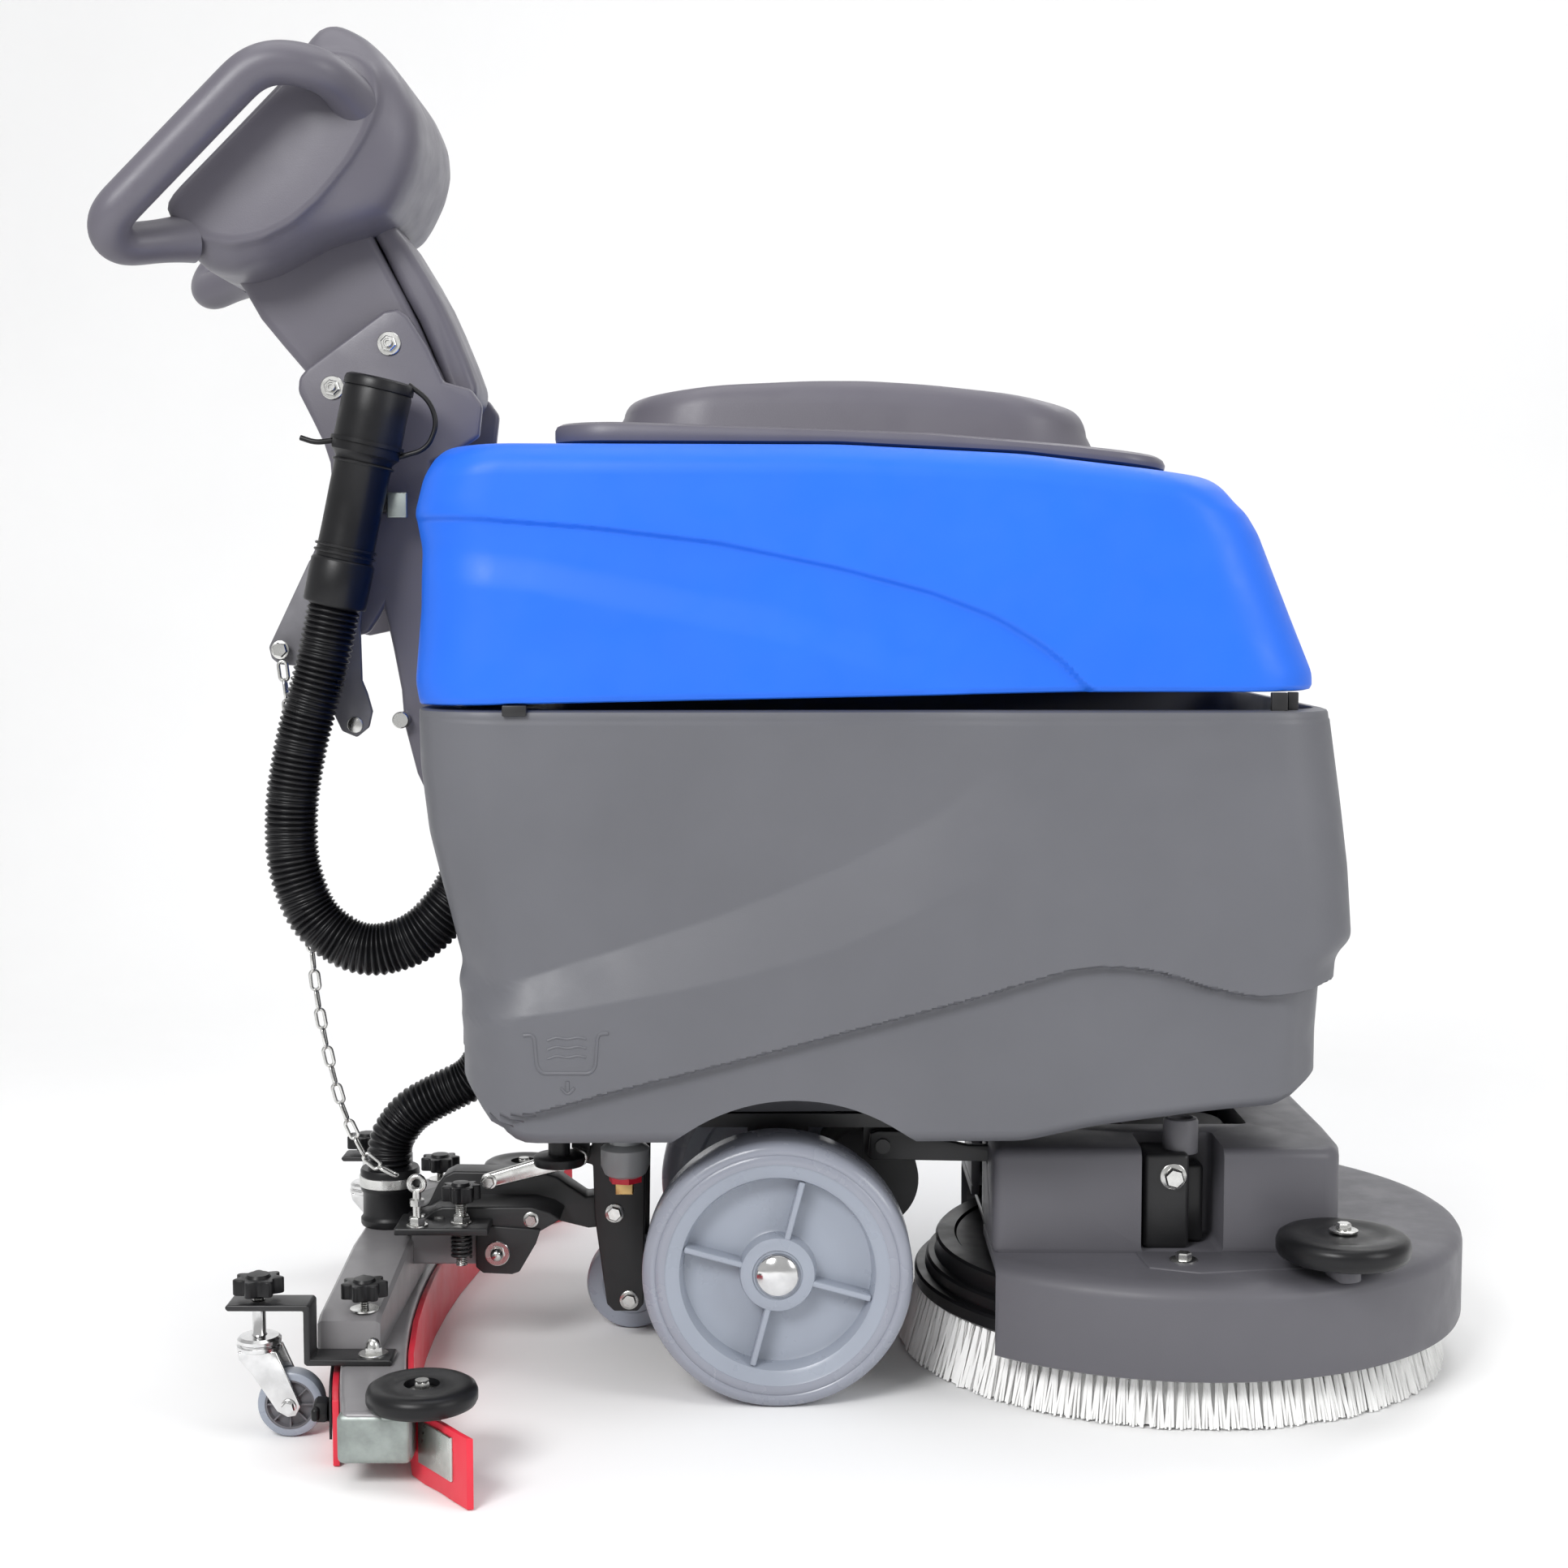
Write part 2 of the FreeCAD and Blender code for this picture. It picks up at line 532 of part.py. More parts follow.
def bristles():
    """The tufted ring, as one flared skirt of filament."""
    outer = Part.makeCone(BRUSH_R, PLATE_R - 8, PLATE_LOW - BRISTLE_LOW, V(BRUSH_X, 0, BRISTLE_LOW))
    inner = cylinder(V(BRUSH_X, 0, BRISTLE_LOW), 110, PLATE_LOW - BRISTLE_LOW)
    return outer.cut(inner)


# ---------------------------------------------------------------- squeegee


def arc_band(apex_x, radius, half_width, half_length, z0, z1):
    """A band in plan that curves forward towards both ends."""
    centre = V(apex_x + radius, 0, z0)
    band = ring(centre, radius + half_width, radius - half_width, z1 - z0)
    return band.common(box(apex_x - 60, apex_x + 200, -half_length, half_length, z0, z1))


def squeegee_body():
    body = arc_band(BODY_APEX_X, BODY_ARC_R, BODY_HALF_WIDTH, BODY_HALF_LENGTH, BODY_LOW, BODY_HIGH)
    hood = [(-216, BODY_HIGH), (-214, 84), (-150, 90), (-60, SOCKET_LOW), (60, SOCKET_LOW),
            (150, 90), (214, 84), (216, BODY_HIGH)]
    corners = [V(-376, y, z) for y, z in hood]
    hump = Part.Face(Part.makePolygon(corners + corners[:1])).extrude(V(46, 0, 0))
    body = body.fuse(hump).fuse(box(-331, -245, -50, 50, 78, ARM_SEAT))
    for side in (RIGHT, LEFT):
        low, high = sorted((side * 300, side * 345))
        body = body.fuse(box(-310, END_ROLLER_X + 14, low, high, BLADE_TOP + 1, BODY_HIGH))
        pin = cylinder(V(END_ROLLER_X, side * END_ROLLER_Y, BODY_HIGH - 2), 5, 24)
        body = body.fuse(pin)
        body = body.cut(cylinder(V(BODY_KNOB_X, side * BODY_KNOB_Y, 70), 3.5 + FIT, 40))
    return body.removeSplitter()


def blade(path, z0, z1, thickness):
    """A rubber strip along half a plan path, mirrored about the centre line."""
    near = [(x, -y) for x, y in reversed(path)]
    line = near[:-1] + path
    outer = [(x - thickness / 2, y) for x, y in line]
    inner = [(x + thickness / 2, y) for x, y in reversed(line)]
    return plan_prism(outer + inner, z0, z1)


FRONT_BLADE = [(-321.4, 0), (-316.5, 120), (-307.8, 200), (-296.5, 270), (-286.5, 318),
               (-262, 350), (-238, 382)]


def rear_blade():
    """A strip that follows the back face of the squeegee body."""
    offset = BODY_HALF_WIDTH + BLADE_THICKNESS / 2 + 0.1
    return arc_band(BODY_APEX_X - offset, BODY_ARC_R + offset, BLADE_THICKNESS / 2,
                    REAR_BLADE_HALF, BLADE_LOW, 50)


def blade_clamps():
    strap = [(-282.6, 330), (-267.2, 350), (-253.8, 368)]
    outline = strap + [(x + 2.5, y) for x, y in reversed(strap)]
    return both_sides(plan_prism(outline, 16, 46))


def squeegee_arm():
    hump = [(-339, 113), (-320, 119), (-312, 138), (-304, 148), (-222, 146), (-201, 135),
            (-186, 124), (-163, 127), (-152, 115), (-163, 102), (-186, 99), (-222, 109),
            (-244, 106), (-339, 106)]
    arm = side_prism(hump, -14, 14)
    wide = [(-339, 106), (-339, 113), (-320, 119), (-308, 128), (-226, 128), (-205, 118),
            (-222, 108)]
    arm = arm.fuse(side_prism(wide, -56, 56))
    arm = arm.fuse(box(-339, -262, -88, -40, 113, 119))
    tab = [(-276, 114), (-222, 110), (-240, 73), (-276, 75)]
    for side in (RIGHT, LEFT):
        low, high = sorted((side * 53, side * 58))
        arm = arm.fuse(side_prism(tab, low, high))
        arm = arm.fuse(cylinder(V(-258, side * 58, 90), 10, 4, V(0, side, 0)))
    arm = arm.cut(cylinder(V(HINGE_X, -20, HINGE_Z), HINGE_PIN_R + FIT, 40, Y_AXIS))
    arm = arm.cut(box(-345, -305, -22, 22, 100, 160))
    arm = arm.cut(cylinder(V(HEIGHT_X, HEIGHT_Y, 100), 5 + FIT, 40))
    return arm.removeSplitter()


def vacuum_socket():
    socket = cylinder(V(SOCKET_X, 0, SOCKET_LOW), 23, SOCKET_HIGH - SOCKET_LOW)
    return socket.fuse(cylinder(V(SOCKET_X, 0, 132), 25, SOCKET_HIGH - 132))


def eye_bolt():
    ring_shape = Part.makeTorus(6, 2.5, V(-321, CHAIN_Y, 154), Y_AXIS)
    stem = cylinder(V(-321, CHAIN_Y, 119), 3.5, 29)
    return ring_shape.fuse(stem)


def star_knob(x, y, z, radius, height, stem_radius, stem_low):
    """A moulded knob with seven lobes round a plain stem."""
    knob = cylinder(V(x, y, z), radius * 0.72, height)
    for index in range(7):
        angle = math.radians(360 / 7 * index)
        lobe = V(x + math.cos(angle) * radius * 0.72, y + math.sin(angle) * radius * 0.72, z)
        knob = knob.fuse(cylinder(lobe, radius * 0.28, height))
    knob = knob.fuse(cylinder(V(x, y, stem_low), stem_radius, z - stem_low + 1))
    return knob.removeSplitter()


def height_spring():
    """The coil spring round the height screw, as a plain sleeve."""
    return ring(V(HEIGHT_X, HEIGHT_Y, 89), 9, 6, 24)


def caster_bracket(side):
    """A Z-shaped strap from the squeegee body up to the caster stem."""
    outline = [(-440, 99), (-440, 104), (-376, 104), (-376, 62), (-314, 62), (-314, BODY_HIGH),
               (-381, BODY_HIGH), (-381, 99)]
    strap = side_prism(outline, -246, -218)
    strap = strap.cut(cylinder(V(CASTER_X, -CASTER_Y, 95), 5 + FIT, 15))
    stud = cylinder(V(-331, -CASTER_Y, 61), 5, 14)
    return for_side(strap.fuse(stud), side)


def caster_knob(side):
    return star_knob(CASTER_X, side * CASTER_Y, 108, 20, 14, 5, 104.1)


def caster_fork(side):
    axle_x = CASTER_X + CASTER_TRAIL
    cheek = [(CASTER_X - 12, 66), (CASTER_X + 13, 66), (axle_x + 8, 26), (axle_x, 18),
             (axle_x - 9, 22)]
    fork = cylinder(V(CASTER_X, -CASTER_Y, 66), 17, 8)
    fork = fork.fuse(cylinder(V(CASTER_X, -CASTER_Y, 72), 5, 30))
    for y in (-CASTER_Y - 13, -CASTER_Y + 10.5):
        fork = fork.fuse(side_prism(cheek, y, y + 2.5))
    axle = cylinder(V(axle_x, -CASTER_Y - 15, CASTER_R + 0.6), 4, 30, Y_AXIS)
    fork = fork.fuse(axle)
    return for_side(fork, side)


def caster_wheel(side):
    start = V(CASTER_X + CASTER_TRAIL, -CASTER_Y - 9, CASTER_R + 0.6)
    return for_side(ring(start, CASTER_R, 4 + FIT, 18, Y_AXIS), side)


def end_roller(side):
    start = V(END_ROLLER_X, side * END_ROLLER_Y, BODY_HIGH + 0.5)
    wheel = ring(start, END_ROLLER_R, 5 + FIT, 16)
    return wheel.cut(cylinder(start + V(0, 0, 10), 13, 10))


def build():
    save("solution_tank", solution_tank())
    save("recovery_tank", recovery_tank())
    save("tank_lid", tank_lid())
    save("lid_hinge", lid_hinge())
    save("chassis", chassis().fuse(link_hanger()))
    save("drive_unit", drive_unit())
    save("battery_pack", battery_pack())
    save("vacuum_motor", vacuum_motor())
    save("water_filter", water_filter())
    save("rear_bracket", rear_bracket())
    save("rear_wheel", rear_wheel())
    save("lower_column", lower_column())
    save("upper_neck", upper_neck())
    save("control_head", control_head())
    save("control_panel", control_panel())
    for name, place in BUTTON_PLACES.items():
        save(name, panel_button(place))
    save("key_switch", key_switch())
    save("column_bolts", column_bolts())
    save("drain_cuff", drain_cuff())
    save("drain_cap", drain_cap())
    save("drain_hose", tube_along(DRAIN_ROUTE, DRAIN_HOSE_R, "drain_hose"))
    save("vacuum_hose", tube_along(VACUUM_ROUTE, VACUUM_HOSE_R, "vacuum_hose"))
    save("lift_chain", tube_along(CHAIN_ROUTE, CHAIN_R, "lift_chain"))
    save("lift_lever", lift_lever())
    save("squeegee_link", squeegee_link())
    save("deck_cover", deck_cover())
    brackets = [deck_frame(), slot_bracket(RIGHT), slot_bracket(LEFT)]
    save("deck_frame", Part.makeCompound(brackets))
    save("brush_motor", brush_motor())
    save("brush_plate", brush_plate())
    save("bristles", bristles())
    save("squeegee_body", squeegee_body())
    save("front_blade", blade(FRONT_BLADE, BLADE_LOW, BLADE_TOP, BLADE_THICKNESS))
    save("rear_blade", rear_blade())
    save("blade_clamps", blade_clamps())
    save("squeegee_arm", squeegee_arm())
    save("vacuum_socket", vacuum_socket())
    save("eye_bolt", eye_bolt())
    save("height_spring", height_spring())
    save("height_knob", star_knob(HEIGHT_X, HEIGHT_Y, 138, 17, 14, 5, 84))
    for side in (RIGHT, LEFT):
        label = SIDE_NAME[side]
        save("drive_hub_" + label, drive_hub(side))
        save("drive_tyre_" + label, drive_tyre(side))
        save("handle_" + label, handle(side))
        save("deck_bumper_" + label, deck_bumper(side))
        save("caster_bracket_" + label, caster_bracket(side))
        save("caster_knob_" + label, caster_knob(side))
        save("caster_fork_" + label, caster_fork(side))
        save("caster_wheel_" + label, caster_wheel(side))
        save("end_roller_" + label, end_roller(side))
        save("body_knob_" + label,
             star_knob(BODY_KNOB_X, side * BODY_KNOB_Y, 96, 19, 14, 3.5, 72))


build()
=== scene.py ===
"""Looks of the walk-behind floor scrubber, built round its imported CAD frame."""
import math
import random
import bmesh
import bpy
from mathutils import Matrix, Vector


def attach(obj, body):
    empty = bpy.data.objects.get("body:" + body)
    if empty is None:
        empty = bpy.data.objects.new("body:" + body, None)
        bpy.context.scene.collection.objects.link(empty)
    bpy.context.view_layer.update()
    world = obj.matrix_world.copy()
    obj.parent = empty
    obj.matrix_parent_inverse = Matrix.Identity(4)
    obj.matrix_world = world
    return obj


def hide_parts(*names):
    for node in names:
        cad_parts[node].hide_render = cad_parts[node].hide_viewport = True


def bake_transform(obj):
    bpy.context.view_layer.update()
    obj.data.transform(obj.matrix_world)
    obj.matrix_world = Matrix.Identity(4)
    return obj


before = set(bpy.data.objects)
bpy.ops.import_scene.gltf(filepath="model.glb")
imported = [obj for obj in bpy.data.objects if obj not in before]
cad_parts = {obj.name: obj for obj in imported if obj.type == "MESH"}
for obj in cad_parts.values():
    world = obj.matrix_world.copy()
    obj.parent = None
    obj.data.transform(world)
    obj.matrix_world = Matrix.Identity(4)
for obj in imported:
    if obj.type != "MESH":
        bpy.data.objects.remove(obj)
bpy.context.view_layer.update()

MM = 0.001
RIGHT, LEFT = -1, 1
SIDES = ((RIGHT, "right"), (LEFT, "left"))
X_AXIS, Y_AXIS, NEAR, UP = (1, 0, 0), (0, 1, 0), (0, -1, 0), (0, 0, 1)
SCENE = bpy.context.scene

TANK_HALF = 225
LOWER_BOTTOM, LOWER_TOP = 217, 549
UPPER_BOTTOM, UPPER_RISE = 552, 190
ARCH_CENTRE, ARCH_RADIUS = (-12, 0, 106), 147
WHEEL_CENTRE = (-25, 0, 106)
REAR_WHEEL_CENTRE = (-151, 0, 40)
HINGE_Y, HINGE_Z = 200, 757
PANEL_CENTRE = Vector((-451.5, 0, 989.5))
PANEL_SLOPE = math.radians(45)
BRUSH_CENTRE = (308, 0, 0)
BUMPER_X, BUMPER_Y = 409, 203
HOSE_Y, CHAIN_Y = -110, -78
SOCKET_CENTRE = (-356, 0, 0)
HEIGHT_X, HEIGHT_Y = -286, -70
EYE_BOLT_X = -321
CASTER_X, CASTER_Y = -417, 232
CASTER_WHEEL_X, CASTER_WHEEL_Z = -393, 25.6
ROLLER_X, ROLLER_Y = -279, 330
BODY_KNOB_X, BODY_KNOB_Y = -343, 200

# ------------------------------------------------------------- camera

camera_data = bpy.data.cameras.new("camera")
camera_data.sensor_width = 36.0
camera_data.lens = 53.76
camera = bpy.data.objects.new("camera", camera_data)
camera.location = (-0.020, -1.964, 0.6377)
camera.rotation_euler = (math.radians(85.30), 0.0, 0.0)
SCENE.collection.objects.link(camera)
SCENE.camera = camera

# ------------------------------------------------------------- mesh helpers


def new_object(name, bm, sharp=35.0):
    """A mesh object from a bmesh in millimetres, smooth except at sharp edges."""
    bmesh.ops.scale(bm, vec=(MM, MM, MM), verts=bm.verts)
    bmesh.ops.recalc_face_normals(bm, faces=bm.faces)
    mesh = bpy.data.meshes.new(name)
    bm.to_mesh(mesh)
    bm.free()
    obj = bpy.data.objects.new(name, mesh)
    SCENE.collection.objects.link(obj)
    shade(obj, sharp)
    return obj


def shade(obj, sharp=35.0):
    """Smooth shading, except at edges sharper than an angle in degrees."""
    mesh = obj.data
    mesh.polygons.foreach_set("use_smooth", [True] * len(mesh.polygons))
    mesh.set_sharp_from_angle(angle=math.radians(sharp))


def dress(obj, body, slot_name, material, *stands_for):
    """Gives a piece its body and material, and hides the CAD nodes it stands for; the slot name is not
    used.
    """
    obj.data.materials.clear()
    obj.data.materials.append(material)
    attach(obj, body)
    if stands_for:
        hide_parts(*stands_for)
    return obj


def apply_modifiers(obj):
    """Bakes an object's modifiers into its mesh."""
    graph = bpy.context.evaluated_depsgraph_get()
    baked = bpy.data.meshes.new_from_object(obj.evaluated_get(graph))
    obj.modifiers.clear()
    obj.data = baked
    return obj


def soften(obj, width, segments=3, angle=30.0):
    """Rounds the edges by a width in millimetres and bakes the result."""
    mod = obj.modifiers.new("round", "BEVEL")
    mod.width = width * MM
    mod.segments = segments
    mod.limit_method = "ANGLE"
    mod.angle_limit = math.radians(angle)
    mod.use_clamp_overlap = True
    apply_modifiers(obj)
    shade(obj)
    return obj


def cut_with(obj, tools, operation="DIFFERENCE"):
    """Boolean of obj with each tool; the tools are removed."""
    for tool in tools:
        mod = obj.modifiers.new("cut", "BOOLEAN")
        mod.operation = operation
        mod.object = tool
        mod.solver = "EXACT"
        bpy.context.view_layer.update()
        apply_modifiers(obj)
        bpy.data.objects.remove(tool)
    shade(obj)
    return obj


def joined(name, objs):
    """One object from several meshes."""
    bm = bmesh.new()
    for obj in objs:
        bm.from_mesh(obj.data)
        bpy.data.objects.remove(obj)
    bmesh.ops.scale(bm, vec=(1 / MM,) * 3, verts=bm.verts)
    return new_object(name, bm)


def turned(obj, centre, angle):
    """Turns a piece about the line along Y through a centre."""
    there = Vector(centre) * MM
    turn = Matrix.Rotation(angle, 4, "Y")
    obj.data.transform(Matrix.Translation(there) @ turn @ Matrix.Translation(-there))
    return obj


def extruded(name, first, last, rounding, segments):
    """A closed solid between two rings of the same number of points."""
    bm = bmesh.new()
    first = [bm.verts.new(p) for p in first]
    last = [bm.verts.new(p) for p in last]
    bm.faces.new(first)
    bm.faces.new(list(reversed(last)))
    for i in range(len(first)):
        j = (i + 1) % len(first)
        bm.faces.new((first[j], first[i], last[i], last[j]))
    obj = new_object(name, bm)
    return soften(obj, rounding, segments) if rounding else obj


def prism(name, outline, y0, y1, rounding=0.0, segments=3):
    """An (x, z) outline extruded along Y."""
    low, high = sorted((y0, y1))
    first, last = [[(x, y, z) for x, z in outline] for y in (low, high)]
    return extruded(name, first, last, rounding, segments)


def plan(name, outline, z0, z1, rounding=0.0, segments=3):
    """An (x, y) outline extruded along Z."""
    first, last = [[(x, y, z) for x, y in outline] for z in (z0, z1)]
    return extruded(name, first, last, rounding, segments)


def block(name, x0, x1, y0, y1, z0, z1, rounding=0.0, segments=3):
    """A box, rounded if a width is given."""
    return prism(name, [(x0, z0), (x1, z0), (x1, z1), (x0, z1)], y0, y1, rounding, segments)


def axis_frame(axis):
    """Two unit vectors at right angles to an axis."""
    along = Vector(axis).normalized()
    side = along.orthogonal().normalized()
    return along, side, along.cross(side)


def lathe(name, profile, centre, axis=UP, steps=64, sharp=35.0):
    """Revolves (radius, height) pairs about an axis through centre."""
    along, u, v = axis_frame(axis)
    origin = Vector(centre)
    bm = bmesh.new()
    rings = []
    for radius, height in profile:
        at = origin + along * height
        if radius < 1e-6:
            rings.append([bm.verts.new(at)])
            continue
        rings.append([bm.verts.new(at + (u * math.cos(a) + v * math.sin(a)) * radius)
                      for a in circle_angles(steps)])
    for low, high in zip(rings, rings[1:]):
        bridge_rings(bm, low, high)
    return new_object(name, bm, sharp)


def rod(name, radius, low, high, centre, axis=UP, steps=32):
    """A plain cylinder between two heights along an axis."""
    return lathe(name, [(0, low), (radius, low), (radius, high), (0, high)], centre, axis, steps)


def circle_angles(count):
    return [2 * math.pi * i / count for i in range(count)]


def bridge_rings(bm, low, high):
    """Faces between two rings; a ring of one point closes to a tip."""
    count = max(len(low), len(high))
    for i in range(count):
        j = (i + 1) % count
        corners = [low[i % len(low)], low[j % len(low)], high[j % len(high)], high[i % len(high)]]
        unique = list(dict.fromkeys(corners))
        if len(unique) > 2:
            bm.faces.new(unique)


def arc_route(points, step):
    """Dense points along straight runs and tangent arcs, as the tubes of the frame run."""
    points = [Vector(p) for p in points]
    line, start = [], points[0]
    for before, corner, after in zip(points, points[1:], points[2:]):
        to_before, to_after = (before - corner).normalized(), (after - corner).normalized()
        setback = 0.45 * min((corner - before).length, (after - corner).length)
        half = (math.pi - to_before.angle(to_after)) / 2
        radius = setback / math.tan(half)
        arc_start = corner + to_before * setback
        inward = (to_before + to_after).normalized()
        centre = corner + inward * (radius / math.cos(half))
        line += straight(start, arc_start, step)
        spoke = arc_start - centre
        normal = (-to_before).cross(to_after).normalized()
        count = max(2, round(2 * half * radius / step))
        for i in range(count):
            line.append(centre + Matrix.Rotation(2 * half * i / count, 3, normal) @ spoke)
        start = corner + to_after * setback
    line += straight(start, points[-1], step)
    line.append(points[-1])
    return line


def straight(a, b, step):
    """Points at even steps from a up to, but without, b."""
    count = max(1, round((b - a).length / step))
    return [a.lerp(b, i / count) for i in range(count)]


def sweep(name, line, radii, steps=32, sharp=60.0):
    """A round tube along dense points, with a radius at each point."""
    bm = bmesh.new()
    rings = []
    side = (line[1] - line[0]).orthogonal().normalized()
    for i, at in enumerate(line):
        ahead = line[min(i + 1, len(line) - 1)] - line[max(i - 1, 0)]
        ahead.normalize()
        side = (side - ahead * side.dot(ahead)).normalized()
        up = ahead.cross(side)
        rings.append([bm.verts.new(at + (side * math.cos(a) + up * math.sin(a)) * radii[i])
                      for a in circle_angles(steps)])
    for low, high in zip(rings, rings[1:]):
        bridge_rings(bm, low, high)
    bm.faces.new(list(reversed(rings[0])))
    bm.faces.new(rings[-1])
    return new_object(name, bm, sharp)


def ridged(line, outer, inner, pitch):
    """Radii of a corrugated hose along dense points."""
    radii, run = [], 0.0
    for i, at in enumerate(line):
        if i:
            run += (at - line[i - 1]).length
        wave = 0.5 + 0.5 * math.cos(2 * math.pi * run / pitch)
        radii.append(inner + (outer - inner) * wave ** 0.6)
    return radii


def hex_head(name, centre, axis, across, height, washer=0.0):
    """A hexagon head with a chamfered top, on a washer if one is given."""
    parts = []
    lift = 0.0
    if washer:
        lift = 1.6
        ring = [(0, 0), (washer, 0), (washer, 1.2), (washer - 0.6, lift), (0, lift)]
        parts.append(lathe(name + "_washer", ring, centre, axis, 40))
    corner = across / math.sqrt(3)
    profile = [(0, lift), (corner, lift), (corner, lift + height * 0.8),
               (corner * 0.86, lift + height), (0, lift + height)]
    parts.append(lathe(name + "_head", profile, centre, axis, 6, 20))
    return joined(name, parts)


def dome_nut(name, centre, axis, radius, height):
    """A cap nut: a hexagon with a dome on it, over a washer."""
    hexagon = [(0, 1.5), (radius, 1.5), (radius, height * 0.45), (0, height * 0.45)]
    dome = [(radius * 0.85 * math.cos(a), height * 0.45 + height * 0.55 * math.sin(a))
            for a in [math.radians(d) for d in (0, 20, 40, 60, 75, 90)]]
    disc = [(0, 0), (radius * 1.6, 0), (radius * 1.6, 1), (radius * 1.5, 1.5), (0, 1.5)]
    parts = [lathe(name + "_a", hexagon, centre, axis, 6, 20),
             lathe(name + "_b", dome, centre, axis, 32),
             lathe(name + "_c", disc, centre, axis, 40)]
    return joined(name, parts)


def between(points, x):
    """Height of a polyline of (x, value) pairs at x."""
    if x <= points[0][0]:
        return points[0][1]
    for (xa, va), (xb, vb) in zip(points, points[1:]):
        if x <= xb:
            return va + (vb - va) * (x - xa) / (xb - xa)
    return points[-1][1]


def smooth_between(points, x, span):
    """The same polyline, averaged over a span so that its corners are soft."""
    reach = [-1.0, -0.6, -0.3, 0.0, 0.3, 0.6, 1.0]
    return sum(between(points, x + span * r) for r in reach) / len(reach)


def soft_step(value):
    """Eases from 0 to 1 as a value does."""
    value = min(1.0, max(0.0, value))
    return value * value * (3 - 2 * value)


# ------------------------------------------------------------- materials


def node_material(name):
    material = bpy.data.materials.new(name)
    material.use_nodes = True
    nodes, links = material.node_tree.nodes, material.node_tree.links
    shader = nodes["Principled BSDF"]
    place = nodes.new("ShaderNodeTexCoord")
    return material, nodes, links, shader, place


def noise(nodes, links, place, scale, detail=4.0, rough=0.55):
    texture = nodes.new("ShaderNodeTexNoise")
    texture.inputs["Scale"].default_value = scale
    texture.inputs["Detail"].default_value = detail
    texture.inputs["Roughness"].default_value = rough
    links.new(place.outputs["Object"], texture.inputs["Vector"])
    return texture.outputs["Fac"]


def ramp(nodes, links, source, low, high, start=0.35, end=0.65):
    spread = nodes.new("ShaderNodeMapRange")
    spread.inputs["From Min"].default_value = start
    spread.inputs["From Max"].default_value = end
    spread.inputs["To Min"].default_value = low
    spread.inputs["To Max"].default_value = high
    links.new(source, spread.inputs["Value"])
    return spread.outputs["Result"]


def tint(nodes, links, factor, dark, light):
    mix = nodes.new("ShaderNodeMix")
    mix.data_type = "RGBA"
    mix.inputs[6].default_value = (*dark, 1)
    mix.inputs[7].default_value = (*light, 1)
    links.new(factor, mix.inputs[0])
    return mix.outputs[2]


def bump(nodes, links, height, strength, distance, shader, under=None):
    node = nodes.new("ShaderNodeBump")
    node.inputs["Strength"].default_value = strength
    node.inputs["Distance"].default_value = distance
    links.new(height, node.inputs["Height"])
    if under is not None:
        links.new(under, node.inputs["Normal"])
    links.new(node.outputs["Normal"], shader.inputs["Normal"])
    return node.outputs["Normal"]


def moulded(name, colour, rough=0.42, grain=900.0, grain_depth=0.00012, vary=0.04, specular=0.4):
    """Moulded plastic: fine grain, a slow mottle and slight unevenness of the wall."""
    material, nodes, links, shader, place = node_material(name)
    slow = noise(nodes, links, place, 7.0, 3.0)
    fine = noise(nodes, links, place, grain, 2.0)
    dark = tuple(c * (1 - vary) for c in colour)
    light = tuple(c * (1 + vary) for c in colour)
    links.new(tint(nodes, links, ramp(nodes, links, slow, 0, 1), dark, light),
              shader.inputs["Base Color"])
    links.new(ramp(nodes, links, noise(nodes, links, place, 30.0), rough - 0.05, rough + 0.07),
              shader.inputs["Roughness"])
    shader.inputs["Specular IOR Level"].default_value = specular
    waves = bump(nodes, links, slow, 0.07, 0.002, shader)
    bump(nodes, links, fine, 0.35, grain_depth, shader, waves)
    return material


def metal(name, colour, rough, brushed=0.0, grain=400.0):
    """Plated or brushed metal with fine scratches and slight stains."""
    material, nodes, links, shader, place = node_material(name)
    shader.inputs["Metallic"].default_value = 1.0
    stain = noise(nodes, links, place, 60.0, 5.0)
    dark = tuple(c * 0.78 for c in colour)
    links.new(tint(nodes, links, ramp(nodes, links, stain, 0, 1), dark, colour),
              shader.inputs["Base Color"])
    links.new(ramp(nodes, links, stain, rough + 0.1, rough - 0.04), shader.inputs["Roughness"])
    stretch = nodes.new("ShaderNodeMapping")
    stretch.inputs["Scale"].default_value = (1.0, 1.0, 1.0 + 30.0 * brushed)
    links.new(place.outputs["Object"], stretch.inputs["Vector"])
    texture = nodes.new("ShaderNodeTexNoise")
    texture.inputs["Scale"].default_value = grain
    links.new(stretch.outputs["Vector"], texture.inputs["Vector"])
    bump(nodes, links, texture.outputs["Fac"], 0.25, 0.00008, shader)
    return material


def coated(name, colour, rough):
    """Powder coat or dark paint with an orange-peel surface and dusty patches."""
    material, nodes, links, shader, place = node_material(name)
    dust = noise(nodes, links, place, 18.0, 5.0)
    light = tuple(c * 1.5 + 0.004 for c in colour)
    links.new(tint(nodes, links, ramp(nodes, links, dust, 0, 1), colour, light),
              shader.inputs["Base Color"])
    links.new(ramp(nodes, links, dust, rough, rough + 0.15), shader.inputs["Roughness"])
    bump(nodes, links, noise(nodes, links, place, 700.0, 2.0), 0.3, 0.00015, shader)
    return material


